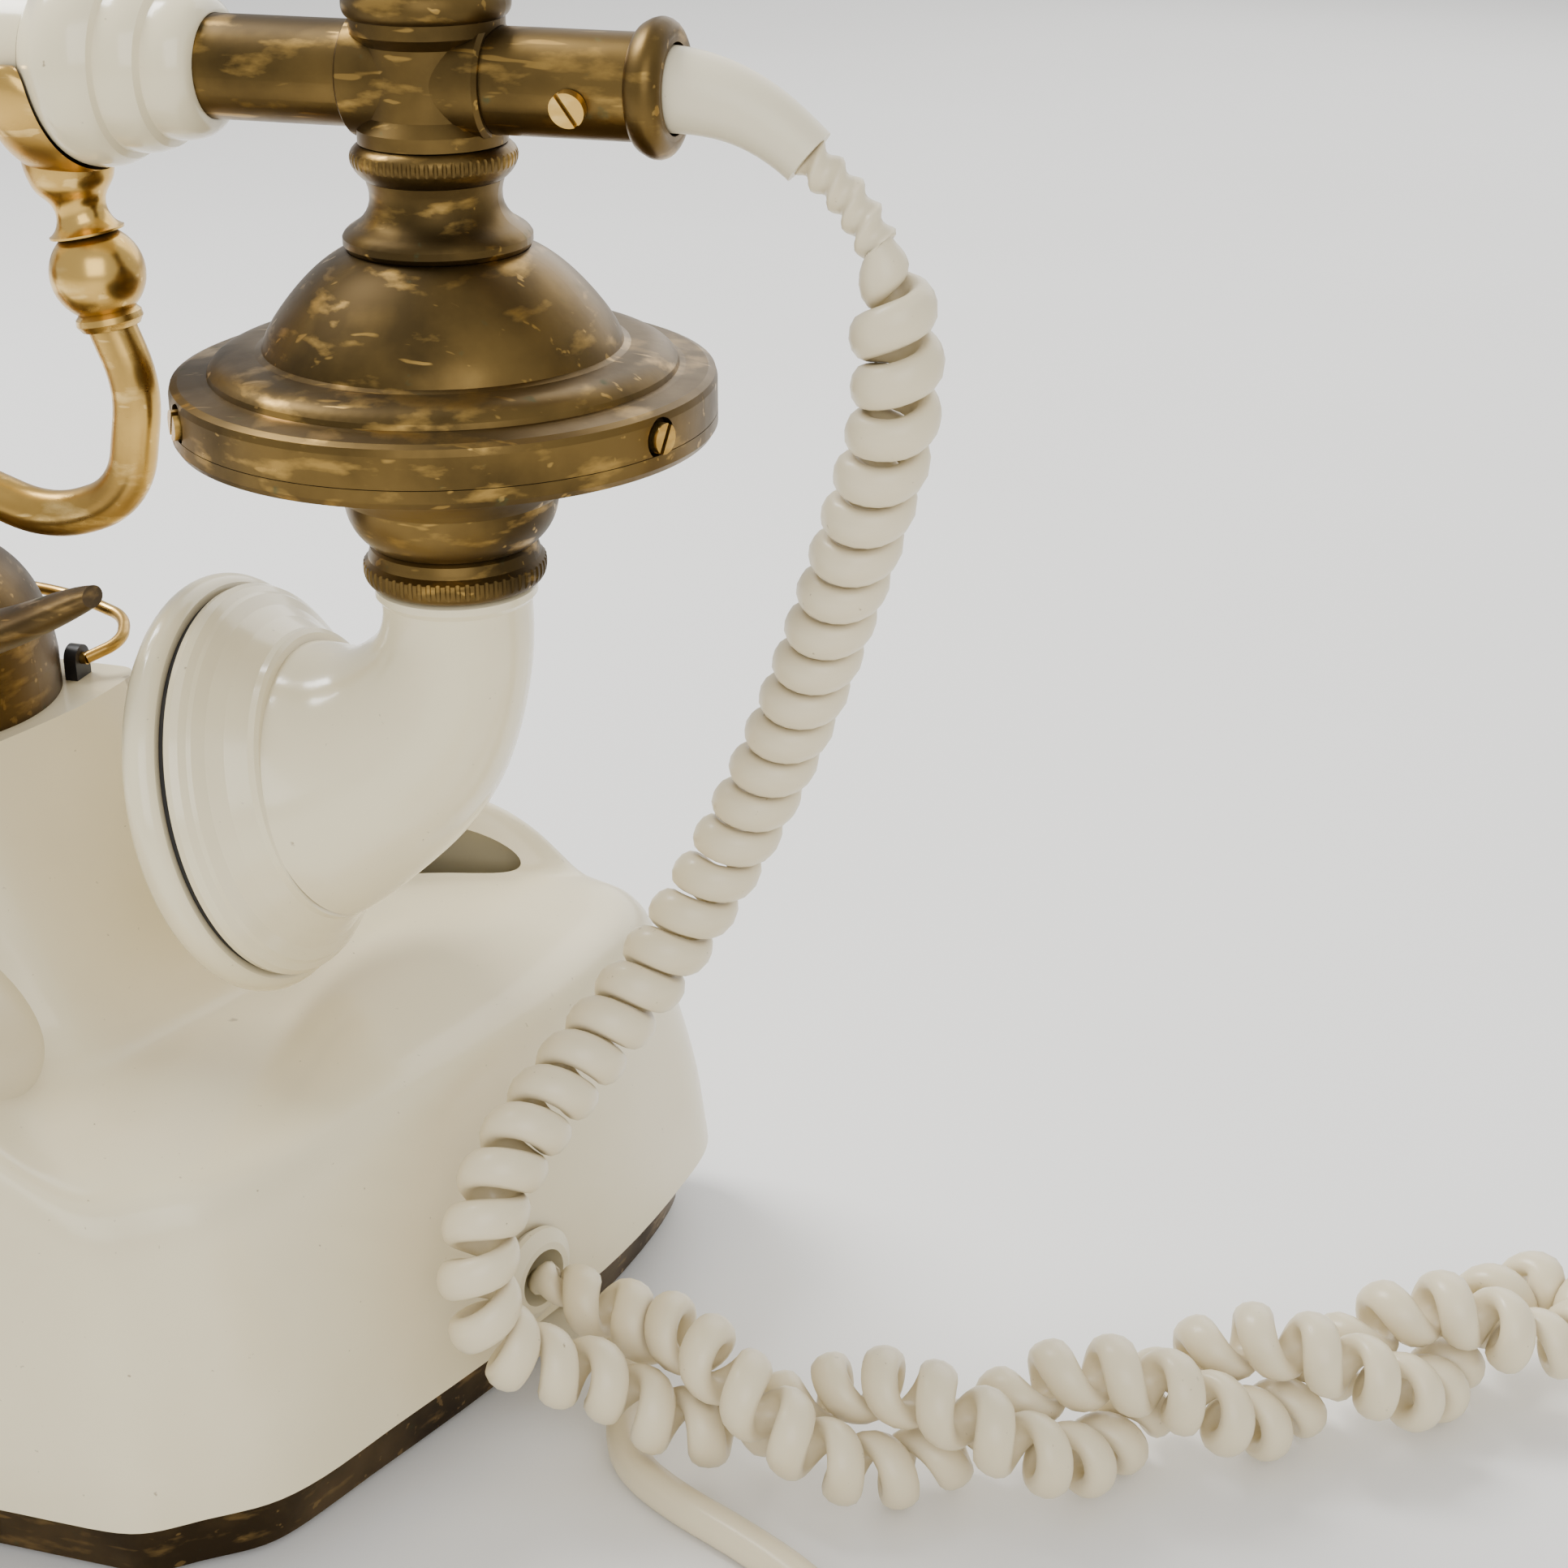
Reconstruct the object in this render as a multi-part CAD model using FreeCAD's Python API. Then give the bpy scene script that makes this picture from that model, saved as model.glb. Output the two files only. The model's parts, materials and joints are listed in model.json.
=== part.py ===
"""Desk telephone with a separate two-ended handset lying in a brass cradle.

Frame: millimetres, +Z up, origin on the table under the middle of the phone,
front (dial side) towards -Y, transmitter end of the handset towards +X.
"""
import FreeCAD, Part
import math
import os

V = FreeCAD.Vector
os.makedirs("parts", exist_ok=True)

# ---------------------------------------------------------------- body sizes
BODY_WIDTH = 209.6          # across the hem, at the widest rear corners
BODY_FRONT = -63.5          # front hem
BODY_REAR = 62.0            # rear hem
TURRET_W = 104.0            # foot of the turret that rises from the shoulder
PLATEAU_W = 54.0            # flat top under the pillar
HEM_Z = 13.0                # lower edge of the painted shell
PLATEAU_Z = 101.6           # flat top that carries the pillar
SHELL_T = 2.0               # wall of the painted shell
ROOF_T = 3.6                # its roof, measured straight down
TRAY_INSET = 4.4            # base tray stands back from the hem
TRAY_T = 1.4                # wall of the base tray
TRAY_BOTTOM = 1.8           # tray floor above the table
FOOT_D = 15.0
SCREW_D = 3.0

# ---------------------------------------------------------------- dial sizes
DIAL_D = 72.0               # outside of the dial ring
DIAL_TILT = 20.0            # dial axis above the horizontal, degrees
DIAL_SEAT = V(0, -61.0, 59.0)
WHEEL_D = 64.0
HOLE_D = 10.8
HOLE_CIRCLE_D = 48.0
HOLES = 10
HOLE_STEP = 30.0            # degrees from one finger hole to the next
SHAFT_D = 5.0
GEAR_D = 32.0
PINION_D = 8.0
RUN_GAP = 0.05              # radial clearance of a shaft in its bore
DISC_GAP = 0.3              # clearance between neighbouring turning discs

# -------------------------------------------------------------- cradle sizes
PILLAR_D = 43.0
PILLAR_H = 24.6
WALL_T = 2.0                # wall of the turned brass housings
PLUNGER_D = 6.0
PLUNGER_TRAVEL = 5.0
BAIL_D = 1.8                # wire bail behind the pillar
BAIL_X = 19.6               # its brackets from the middle
BAIL_Y = 13.6
FORK_X = 38.0               # ball of each fork from the middle
ARM_D = 6.4                 # cradle arm rod
ARM_BEND_DROP = 60.3        # lowest rod centre below the handset axis
BALL_D = 12.6
FORK_GAP = 0.5              # saddle to handle

# ------------------------------------------------------------- handset sizes
AXIS_Z = 193.8              # middle of the handset tube above the table
HEAD_X = 87.0               # transmitter and receiver axes from the middle
TUBE_D = 13.0
TUBE_WALL = 1.2
TUBE_END = 30.0             # collar beyond the head axis
GRIP_D = 17.4               # handle beside the ferrule
GRIP_SWELL = 22.6           # handle in the middle
FERRULE_D = 26.6
FERRULE_X = 42.0            # thickest ring of the ferrule
HEAD_FIT = 0.05             # clearance of the tube in the tee blocks
FLANGE_D = 70.2             # transmitter case rim
NECK_D = 16.7
RIB_COUNT = 60
HORN_D = 20.2
MOUTH_D = 59.4
MOUTH_TILT = 13.7           # mouthpiece looks this far below the horizontal
EARCAP_D = 60.0

# ---------------------------------------------------------------- cord sizes
COIL_D = 11.8               # outside of the curly cord
WIRE_D = 5.4                # curly cord where it runs straight
LINE_D = 5.6                # line cord
BOOT_D = 10.4
BOOT_DROOP = 40.0           # cut end of the boot below the horizontal, degrees
CORD_Y = -4.0               # handset cord bush, in the right wall
BUSH_Z = 22.4
BUSH_D = 13.0
BUSH_OUT = 3.0              # cord bush beyond the wall
LINE_Y = 6.0                # line cord bush, in the tray wall
LINE_Z = 7.8


def save(name, shape):
    """Write one node as STEP and report its volume."""
    if not shape.isValid():
        print("INVALID", name)
    shape.exportStep("parts/%s.step" % name)
    print("%-24s %9.0f mm3  solids %d" % (name, shape.Volume, len(shape.Solids)))


def join(*shapes):
    """Fuse overlapping shapes into one solid."""
    result = shapes[0].multiFuse(list(shapes[1:])) if len(shapes) > 1 else shapes[0]
    return result.removeSplitter()


def rod(radius, start, end):
    """Cylinder from one point to another."""
    axis = end - start
    return Part.makeCylinder(radius, axis.Length, start, axis)


def pipe(outer, inner, start, end):
    """Round tube from one point to another."""
    return rod(outer, start, end).cut(rod(inner, start, end))


def turned(profile, smooth=()):
    """Solid of revolution about Z from (r, z) points; smooth lists (first, last) curved spans."""
    points = [V(r, 0, z) for r, z in profile]
    edges = []
    index = 0
    spans = dict(smooth)
    while index < len(points) - 1:
        last = spans.get(index, index + 1)
        if last > index + 1:
            curve = Part.BSplineCurve()
            curve.interpolate(points[index:last + 1])
            edges.append(curve.toShape())
        else:
            edges.append(Part.LineSegment(points[index], points[last]).toShape())
        index = last
    edges.append(Part.LineSegment(points[-1], points[0]).toShape())
    solid = Part.Face(Part.Wire(edges)).revolve(V(0, 0, 0), V(0, 0, 1), 360)
    if solid.Volume < 0:
        solid.reverse()
    return solid


def lathe(profile, smooth=(), bore=0.0):
    """Turned solid from its outside (r, z) points; bore is the radius of a straight hole."""
    top, bottom = profile[0][1], profile[-1][1]
    closed = [(bore, top)] + list(profile) + [(bore, bottom)]
    shifted = [(first + 1, last + 1) for first, last in smooth]
    return turned(closed, shifted)


def hang(shape, x):
    """Put a shape made about Z, with z measured from the handset axis, on a head axis."""
    return shape.translated(V(x, 0, AXIS_Z))


def along_x(shape):
    """Turn a shape made about Z so that its axis lies along +X on the handset axis."""
    turn = FreeCAD.Placement(V(0, 0, AXIS_Z), FreeCAD.Rotation(V(0, 1, 0), 90))
    return shape.transformed(turn.toMatrix(), True)


def mirrored(shape):
    """Copy for the receiver side."""
    return shape.mirror(V(0, 0, 0), V(1, 0, 0))


# ------------------------------------------------------------------ the body
# Right half of the plan, front middle to rear middle: share of half the width, share of the
# depth, then how much of the front arch and of the rear rise each point takes.  The front
# corners are cut off, and the sides spread and bulge towards the rear.
PLAN = [(0, 0, 1, 0), (.13, 0, .95, 0), (.25, 0, .83, 0), (.36, 0, .64, 0), (.45, 0, .40, 0),
        (.53, 0, .17, 0), (.59, .008, .04, 0), (.65, .044, 0, 0), (.72, .090, 0, 0), (.764, .148, 0, 0),
        (.8015, .231, 0, 0), (.860, .359, 0, 0), (.914, .488, 0, 0), (.958, .614, 0, 0),
        (.983, .730, 0, 0), (.996, .840, 0, 0), (.990, .930, 0, 0), (.945, .985, 0, .02),
        (.86, 1, 0, .16), (.80, 1, 0, .60), (.73, 1, 0, .92), (.60, 1, 0, 1), (.40, 1, 0, 1),
        (.20, 1, 0, 1), (0, 1, 0, 1)]
# Each level of the shell: half width, front, rear, then the height at the front middle, along
# the side and at the rear, from the hem up over the shoulder and the turret to the plateau.
LEVELS = [
    (BODY_WIDTH / 2, BODY_FRONT, BODY_REAR, HEM_Z, HEM_Z, HEM_Z),
    (BODY_WIDTH / 2 - 1.2, BODY_FRONT + 0.1, BODY_REAR - 1.6, 30.0, 26.0, 29.0),
    (BODY_WIDTH / 2 - 3.4, BODY_FRONT + 0.9, BODY_REAR - 4.5, 50.0, 39.5, 46.0),
    (BODY_WIDTH / 2 - 5.6, BODY_FRONT + 1.7, BODY_REAR - 7.5, 69.0, 51.5, 62.0),
    (BODY_WIDTH / 2 - 8.0, BODY_FRONT + 3.4, BODY_REAR - 10.0, 76.5, 58.4, 70.0),
    (BODY_WIDTH / 2 - 14.0, BODY_FRONT + 6.6, BODY_REAR - 13.5, 79.0, 60.8, 73.4),
    (BODY_WIDTH / 2 - 30.0, BODY_FRONT + 14.5, BODY_REAR - 19.0, 80.5, 61.2, 75.0),
    (TURRET_W / 2 + 3.5, BODY_FRONT + 28.0, BODY_REAR - 28.0, 83.0, 61.8, 76.4),
    (TURRET_W / 2 - 2.5, BODY_FRONT + 33.0, BODY_REAR - 31.0, 84.6, 66.0, 78.6),
    (TURRET_W / 2 - 11.5, BODY_FRONT + 36.0, BODY_REAR - 35.0, 88.5, 77.6, 84.4),
    (TURRET_W / 2 - 19.0, BODY_FRONT + 38.8, BODY_REAR - 39.0, 93.4, 89.0, 91.6),
    (PLATEAU_W / 2 + 1.8, BODY_FRONT + 41.2, BODY_REAR - 42.0, 98.4, 97.2, 97.6),
    (PLATEAU_W / 2, BODY_FRONT + 42.5, BODY_REAR - 43.0, PLATEAU_Z, PLATEAU_Z, PLATEAU_Z)]


def steady_slopes(places, values):
    """Slopes for a cubic through the values that never overshoots them."""
    steps = [b - a for a, b in zip(places, places[1:])]
    rates = [(b - a) / h for a, b, h in zip(values, values[1:], steps)]
    slopes = [rates[0]]
    for left, right in zip(rates, rates[1:]):
        slopes.append(0.0 if left * right <= 0 else 2 * left * right / (left + right))
    return slopes + [rates[-1]]


def fine_levels(levels, step=5.5):
    """Evenly spaced levels along the profile, so that the loft stays smooth."""
    places = [0.0]
    for here, there in zip(levels, levels[1:]):
        rise = max(abs(there[i] - here[i]) for i in (3, 4, 5))
        places.append(places[-1] + math.hypot(here[0] - there[0], rise))
    columns = list(zip(*levels))
    slopes = [steady_slopes(places, column) for column in columns]
    count = round(places[-1] / step)
    fine = []
    for i in range(count + 1):
        spot = places[-1] * i / count
        k = max(j for j in range(len(places) - 1) if places[j] <= spot + 1e-9)
        h = places[k + 1] - places[k]
        t = (spot - places[k]) / h
        row = []
        for column, slope in zip(columns, slopes):
            row.append(column[k] * (1 + 2 * t) * (1 - t) ** 2 + slope[k] * h * t * (1 - t) ** 2 +
                       column[k + 1] * t * t * (3 - 2 * t) + slope[k + 1] * h * t * t * (t - 1))
        fine.append(row)
    return fine


def outline_points(level, inset=0.0, drop=0.0):
    """Closed ring of points for one level, moved inwards by inset and down by drop."""
    half_w, front, rear, z_front, z_side, z_rear = level
    right = []
    for across, back, arch, rise in PLAN:
        z = z_side + (z_front - z_side) * arch + (z_rear - z_side) * rise
        right.append(V(across * half_w, front + back * (rear - front), z - drop))
    ring = right + [V(-p.x, p.y, p.z) for p in reversed(right[1:-1])]
    if not inset:
        return ring
    count = len(ring)
    moved = []
    for i, p in enumerate(ring):
        ahead = ring[(i + 1) % count] - ring[i - 1]
        ahead.z = 0
        normal = V(-ahead.y, ahead.x, 0).normalize()
        moved.append(p + normal * inset)
    return moved


def ring_wire(points):
    """Smooth closed curve through a ring of points, spaced as the plan is."""
    plan = outline_points(LEVELS[0])
    spacing = [0.0]
    for here, there in zip(plan, plan[1:] + plan[:1]):
        spacing.append(spacing[-1] + (there - here).Length)
    curve = Part.BSplineCurve()
    curve.interpolate(Points=points, PeriodicFlag=True, Parameters=spacing)
    return Part.Wire(curve.toShape())


def dial_place(shape):
    """Move a shape made about Z, with z out of the dial's face, to the dial seat."""
    turn = FreeCAD.Rotation(V(0, 0, 1), V(0, -math.cos(math.radians(DIAL_TILT)),
                                          math.sin(math.radians(DIAL_TILT))))
    return shape.transformed(FreeCAD.Placement(DIAL_SEAT, turn).toMatrix(), True)


def body_shell():
    """Painted sheet shell: hollow, open below, with a round seat for the dial."""
    rings = fine_levels(LEVELS)
    outer = Part.makeLoft([ring_wire(outline_points(ring)) for ring in rings], True)
    open_end = 0.5
    hollow = [ring_wire(outline_points(ring, SHELL_T, min(ROOF_T, open_end + ring[4] - HEM_Z)))
              for ring in rings]
    inner = Part.makeLoft(hollow, True)
    seat = dial_place(Part.makeCylinder(DIAL_D / 2 + 1.5, 46, V(0, 0, -46)))
    keep = Part.makeBox(400, 400, PLATEAU_Z - HEM_Z, V(-200, -200, HEM_Z))
    seat_bore = dial_place(Part.makeCylinder(DIAL_D / 2 - 3.0, 60, V(0, 0, -50)))
    seat_room = dial_place(Part.makeCylinder(DIAL_D / 2 - 0.5, 47, V(0, 0, -49.5)))
    shell = join(outer, seat.common(keep)).cut(inner)
    front_room = dial_place(Part.makeCylinder(DIAL_D / 2 + 1.6, 30))
    shell = shell.cut(seat_room).cut(seat_bore).cut(front_room)
    shell = shell.cut(rod(PLUNGER_D / 2 + 3, V(0, 0, PLATEAU_Z - 20), V(0, 0, PLATEAU_Z + 5)))
    for x, y in pillar_screws():
        shell = shell.cut(rod(SCREW_D / 2, V(x, y, PLATEAU_Z - 20), V(x, y, PLATEAU_Z + 5)))
    shell = shell.cut(bush_place(Part.makeCylinder(BUSH_D / 2, 20, V(0, 0, -10)), CORD_Y, BUSH_Z))
    return max(shell.Solids, key=lambda s: s.Volume)


def side_spot(y, level=0.5, inset=0.0):
    """Point on the right wall, between the two lowest levels, and the way out of the wall."""
    low, high = (outline_points(LEVELS[i], inset)[8:17] for i in (0, 1))
    for a, b, c, d in zip(low, low[1:], high, high[1:]):
        if a.y <= y <= b.y:
            share = (y - a.y) / (b.y - a.y)
            spot = (a + (b - a) * share) * (1 - level) + (c + (d - c) * share) * level
            out = V(b.y - a.y, a.x - b.x, 0).normalize()
            return V(spot.x, y, 0), out
    raise ValueError("no wall at y %.1f" % y)


def bush_place(shape, y, z, inset=0.0):
    """Shape made about Z, with z = 0 on the right wall, turned to point out of the wall."""
    spot, out = side_spot(y, (z - HEM_Z) / (LEVELS[1][4] - HEM_Z), inset)
    turn = FreeCAD.Rotation(V(0, 0, 1), out)
    return shape.transformed(FreeCAD.Placement(spot + V(0, 0, z), turn).toMatrix(), True)


def base_tray():
    """Pressed tray that closes the shell and stands just inside the hem."""
    def level(inset, z):
        return ring_wire([V(p.x, p.y, z) for p in outline_points(LEVELS[0], inset)])
    outside = Part.makeLoft([level(TRAY_INSET + 1.2, TRAY_BOTTOM), level(TRAY_INSET - 0.6, HEM_Z + 2)], True)
    inside = Part.makeLoft([level(TRAY_INSET + 1.2 + TRAY_T, TRAY_BOTTOM + TRAY_T),
                            level(TRAY_INSET - 0.6 + TRAY_T, HEM_Z + 4)], True)
    tray = outside.cut(inside)
    for x, y in foot_places():
        tray = tray.cut(rod(FOOT_D / 2 - 3, V(x, y, 0), V(x, y, TRAY_BOTTOM + TRAY_T + 1)))
    tray = tray.cut(bush_place(Part.makeCylinder(BUSH_D / 2 + 0.5, 20, V(0, 0, -16)), CORD_Y, BUSH_Z))
    tray = tray.cut(bush_place(Part.makeCylinder(4.6, 24, V(0, 0, -14)), LINE_Y, LINE_Z, TRAY_INSET))
    return tray


def foot_places():
    """Centres of the four rubber feet."""
    front = (BODY_WIDTH / 2 - 54, BODY_FRONT + 20)
    rear = (BODY_WIDTH / 2 - 24, BODY_REAR - 20)
    return [(s * x, y) for x, y in (front, rear) for s in (1, -1)]


def rubber_feet():
    """Four feet pushed through the tray floor."""
    feet = []
    top = TRAY_BOTTOM + TRAY_T
    for x, y in foot_places():
        pad = Part.makeCone(FOOT_D / 2 - 1, FOOT_D / 2, TRAY_BOTTOM, V(x, y, 0))
        feet.append(join(pad, rod(FOOT_D / 2 - 3, V(x, y, 0), V(x, y, top + 1.5))))
    return Part.makeCompound(feet)


def pillar_screws():
    """Two screws hold the pillar to the plateau from inside."""
    return [(14.5, 3.0), (-14.5, 3.0)]


# ------------------------------------------------------------------ the dial
def dial_parts():
    """Dial pieces, each made about Z with z out of the face."""
    ring = turned([(DIAL_D / 2 - 4, -2), (DIAL_D / 2, -2), (DIAL_D / 2, 1.5), (DIAL_D / 2 - 1.2, 4.0),
                   (DIAL_D / 2 - 2.8, 4.0), (DIAL_D / 2 - 3.5, 0.5), (DIAL_D / 2 - 4, 0.5)])
    ring = ring.translated(V(0, 0, 2))
    case_r = DIAL_D / 2 - 6
    case = turned([(SHAFT_D / 2 + RUN_GAP, -24), (case_r - 2, -24), (case_r, -22), (case_r, 0.3),
                   (DIAL_D / 2 - 4.1, 0.3), (DIAL_D / 2 - 4.1, 1.5), (case_r - 2, 1.5), (case_r - 2, -22),
                   (SHAFT_D / 2 + RUN_GAP, -22)])
    case = case.cut(Part.makeCylinder(PINION_SHAFT_D / 2 + RUN_GAP, 6, V(pinion_x(), 0, -25)))
    plate = Part.makeCylinder(DIAL_D / 2 - 4.1, 0.8, V(0, 0, 1.6))
    plate = plate.cut(Part.makeCylinder(SHAFT_D / 2 + 1, 4, V(0, 0, 0)))
    wheel = turned([(SHAFT_D / 2, 3.2), (WHEEL_D / 2 - 1, 3.2), (WHEEL_D / 2, 3.8), (WHEEL_D / 2, 4.4),
                    (WHEEL_D / 2 - 1, 5.0), (SHAFT_D / 2, 5.0)])
    for i in range(HOLES):
        angle = math.radians(-60 + HOLE_STEP * i + 60)
        x, y = HOLE_CIRCLE_D / 2 * math.cos(angle), HOLE_CIRCLE_D / 2 * math.sin(angle)
        wheel = wheel.cut(Part.makeCylinder(HOLE_D / 2, 6, V(x, y, 1)))
    cap = lathe([(11.5, 5.05), (13.0, 5.6), (13.0, 6.2), (11.8, 6.8), (6, 7.4), (0.01, 7.6)][:5], ())
    shaft = join(Part.makeCylinder(SHAFT_D / 2, 29, V(0, 0, -24)),
                 Part.makeCylinder(GEAR_D / 2, 2.0, V(0, 0, -12)))
    spring = turned([(SHAFT_D / 2 + 0.3, -8), (9.5, -8), (9.5, -3), (SHAFT_D / 2 + 0.3, -3)])
    pinion = Part.makeCylinder(PINION_D / 2, 2.6, V(pinion_x(), 0, -12.3))
    pinion = join(pinion, Part.makeCylinder(PINION_SHAFT_D / 2, 20, V(pinion_x(), 0, -24)),
                  Part.makeBox(2, 9, 2.2, V(pinion_x() - 1, -4.5, -19)))
    stop_r = DIAL_D / 2 - 0.4
    angle = math.radians(-38)
    root = V(stop_r * math.cos(angle), stop_r * math.sin(angle), 4.0)
    tip = V(23.5 * math.cos(angle - 0.05), 23.5 * math.sin(angle - 0.05), 6.6)
    stop = join(rod(1.5, root + V(0, 0, 2.0), root + V(0, 0, 4.2)),
                rod(1.1, root + V(0, 0, 3.2), tip), Part.makeSphere(1.1, tip))
    return {"dial_ring": ring, "dial_case": case, "number_plate": plate, "finger_wheel": wheel,
            "dial_centre_cap": cap, "dial_shaft": shaft, "dial_spring": spring,
            "governor": pinion, "finger_stop": stop}


PINION_SHAFT_D = 2.4


def pinion_x():
    """Governor shaft beside the gear, with a small gap between the two."""
    return GEAR_D / 2 + PINION_D / 2 + 0.1


# ---------------------------------------------------------------- the cradle
def pillar_dome(bore=0.0):
    """Outside of the pillar, with the bore for the plunger or solid."""
    top = PLATEAU_Z + PILLAR_H
    r = PILLAR_D / 2
    return lathe([(4.0, top), (6.5, top - .4), (11, top - 2.0), (15.0, top - 4.2), (17.6, top - 6.8),
                  (19.6, top - 10.3), (20.9, top - 15), (r, top - 19.5), (r, PLATEAU_Z)], [(0, 7)], bore)


def pillar():
    """Domed brass pillar with a bore for the plunger."""
    r = PILLAR_D / 2
    z = PLATEAU_Z
    dome = pillar_dome(PLUNGER_D / 2 + RUN_GAP)
    room = lathe([(9, z + PILLAR_H - 5), (14, z + PILLAR_H - 9), (r - 3, z + PILLAR_H - 15), (r - 3, z - 1)])
    return dome.cut(room).cut(rod(SCREW_D / 2, V(14.5, 3, z - 5), V(14.5, 3, z + 1)))


def finger_rest(side):
    """Leaf-shaped rest that curls up to the side, cast solid."""
    ribs = []
    stations = [(-1, -16.5, 121.5, 8.5, 3.2), (9, -19, 120.8, 8.6, 3.4), (19, -20, 121.6, 7.8, 3.2),
                (29, -20, 124.2, 6.4, 2.7), (38, -19.5, 128.0, 4.6, 2.2), (43.5, -19, 130.4, 2.4, 1.4)]
    for x, y, z, half_w, half_t in stations:
        ellipse = Part.Ellipse(V(0, 0, 0), half_w, half_t)
        wire = Part.Wire(ellipse.toShape())
        lean = 20 if x > 9 else 8
        wire.Placement = FreeCAD.Placement(V(x, y, z - 2.4), FreeCAD.Rotation(V(0, 1, 0), 90 - lean).multiply(
            FreeCAD.Rotation(V(0, 0, 1), 90)))
        ribs.append(wire)
    leaf = Part.makeLoft(ribs, True)
    block = Part.makeBox(60, 60, 40, V(0.15, -50, 100))
    leaf = leaf.common(block).cut(pillar_dome())
    leaf = max(leaf.Solids, key=lambda s: s.Volume)
    return leaf if side > 0 else mirrored(leaf)


def rounded_path(points, share=0.45):
    """Straight runs joined by tangent arcs; returns the wire, its length and the radii."""
    edges = []
    radii = []
    start = points[0]
    for before, here, after in zip(points, points[1:], points[2:]):
        a, b = (before - here), (after - here)
        run = min(a.Length, b.Length)
        turn = math.pi - a.getAngle(b)
        radius = share * run / math.tan(turn / 2)
        reach = share * run
        ua, ub = a.normalize(), b.normalize()
        p, q = here + ua * reach, here + ub * reach
        centre = here + (ua + ub).normalize() * (radius / math.cos(turn / 2))
        mid = centre + (here - centre).normalize() * radius
        if (p - start).Length > 1e-6:
            edges.append(Part.LineSegment(start, p).toShape())
        edges.append(Part.Arc(p, mid, q).toShape())
        radii.append(radius)
        start = q
    edges.append(Part.LineSegment(start, points[-1]).toShape())
    wire = Part.Wire(edges)
    return wire, wire.Length, radii


def tube_along(points, diameter, name, share=0.45):
    """Round solid along a rounded path, checked against section times length."""
    wire, length, radii = rounded_path(points, share)
    ahead = (points[1] - points[0]).normalize()
    circle = Part.Wire(Part.Circle(points[0], ahead, diameter / 2).toShape())
    solid = wire.makePipeShell([circle], True, False)
    expected = math.pi * diameter ** 2 / 4 * length
    print("%s: length %.1f, least radius %.1f (%.1f diameters), volume ratio %.4f, radii %s" % (
        name, length, min(radii), min(radii) / diameter, solid.Volume / expected,
        " ".join("%.0f" % r for r in radii)))
    return solid


def cradle_arm():
    """S-shaped rod from the hub down, out and up to the ball of the fork."""
    low = AXIS_Z - ARM_BEND_DROP
    points = [V(4.5, 0, low + 4.0), V(13, 0, low + 2.2), V(27, 0, low - 2.6), V(39.5, 0, low + 2.0),
              V(42.4, 0, low + 17.5), V(FORK_X + 0.7, 0, AXIS_Z - 33.2)]
    return tube_along(points, ARM_D, "cradle_arm")


def cradle_hub():
    """Turned hub that joins both arms on top of the plunger."""
    low = AXIS_Z - ARM_BEND_DROP
    hub = lathe([(2.5, low + 14), (4.5, low + 13), (5.0, low + 11.2), (3.6, low + 9.6), (6.4, low + 8.2),
                 (7.0, low + 4), (6.4, low + 0.2), (4.6, low - 1.4)], [(0, 7)][:0])
    arm = cradle_arm()
    return hub.cut(arm).cut(mirrored(arm)).cut(rod(PLUNGER_D / 2 - 1, V(0, 0, low - 5), V(0, 0, low)))


FORK_LEAN = 10.0            # fork leans towards the pillar, degrees
# One horn of the fork: degrees from level, place along the handle, half width, half thickness.
HORN_STATIONS = [(-90, -1.8, 5.6, 3.0), (-68, -2.0, 5.5, 2.6), (-45, -2.6, 5.0, 2.1),
                 (-22, -3.4, 4.2, 1.7), (-4, -4.2, 3.2, 1.4), (3, -4.5, 1.6, 1.0)]


def fork_place(shape):
    """Shape made about Z with z = 0 at the ball's centre, leaned and put over the arm."""
    turn = FreeCAD.Rotation(V(0, 1, 0), -FORK_LEAN)
    spot = V(FORK_X, 0, AXIS_Z - 27.6)
    return shape.transformed(FreeCAD.Placement(spot, turn).toMatrix(), True)


def fork():
    """Sharp ring, waisted neck, cup and the two horns that hold the handle."""
    saddle = GRIP_D / 2 + FORK_GAP
    stem = lathe([(3.2, BALL_D / 2 - 1.0), (4.9, 5.3), (4.95, 5.6), (3.9, 6.5), (3.35, 8.2), (3.7, 9.8),
                  (5.0, 11.5), (5.7, 13.5), (5.9, 15.5), (5.6, 17.6)], [(2, 9)])
    stem = fork_place(stem)
    horns = []
    for side in (-1, 1):
        wires = []
        for angle, shift, half_w, half_t in HORN_STATIONS:
            radius = saddle + half_t + 0.1
            a = math.radians(angle)
            spot = V(FORK_X + shift, side * radius * math.cos(a), AXIS_Z + radius * math.sin(a))
            section = Part.Wire(Part.Ellipse(V(0, 0, 0), half_w, half_t).toShape())
            section.Placement = FreeCAD.Placement(spot, FreeCAD.Rotation(V(1, 0, 0), side * angle))
            wires.append(section)
        horns.append(Part.makeLoft(wires, True))
    handle = Part.makeCylinder(saddle, 60, V(FORK_X - 33, 0, AXIS_Z), V(1, 0, 0))
    ferrule = along_x(ferrule_solid(FORK_GAP))
    trimmed = [piece.cut(handle).cut(ferrule) for piece in (stem, horns[0], horns[1])]
    return trimmed[0].fuse(trimmed[1:])


def fork_ball():
    """Ball between the arm and the fork."""
    ball = fork_place(Part.makeSphere(BALL_D / 2))
    foot = fork_place(lathe([(3.4, -4.5), (4.4, -5.6), (4.5, -6.4), (3.9, -7.3)]))
    ball = join(ball, foot).cut(cradle_arm())
    return max(ball.cut(fork_place(Part.makeCylinder(9, 9, V(0, 0, BALL_D / 2 - 1.0)))).Solids,
               key=lambda s: s.Volume)


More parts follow.
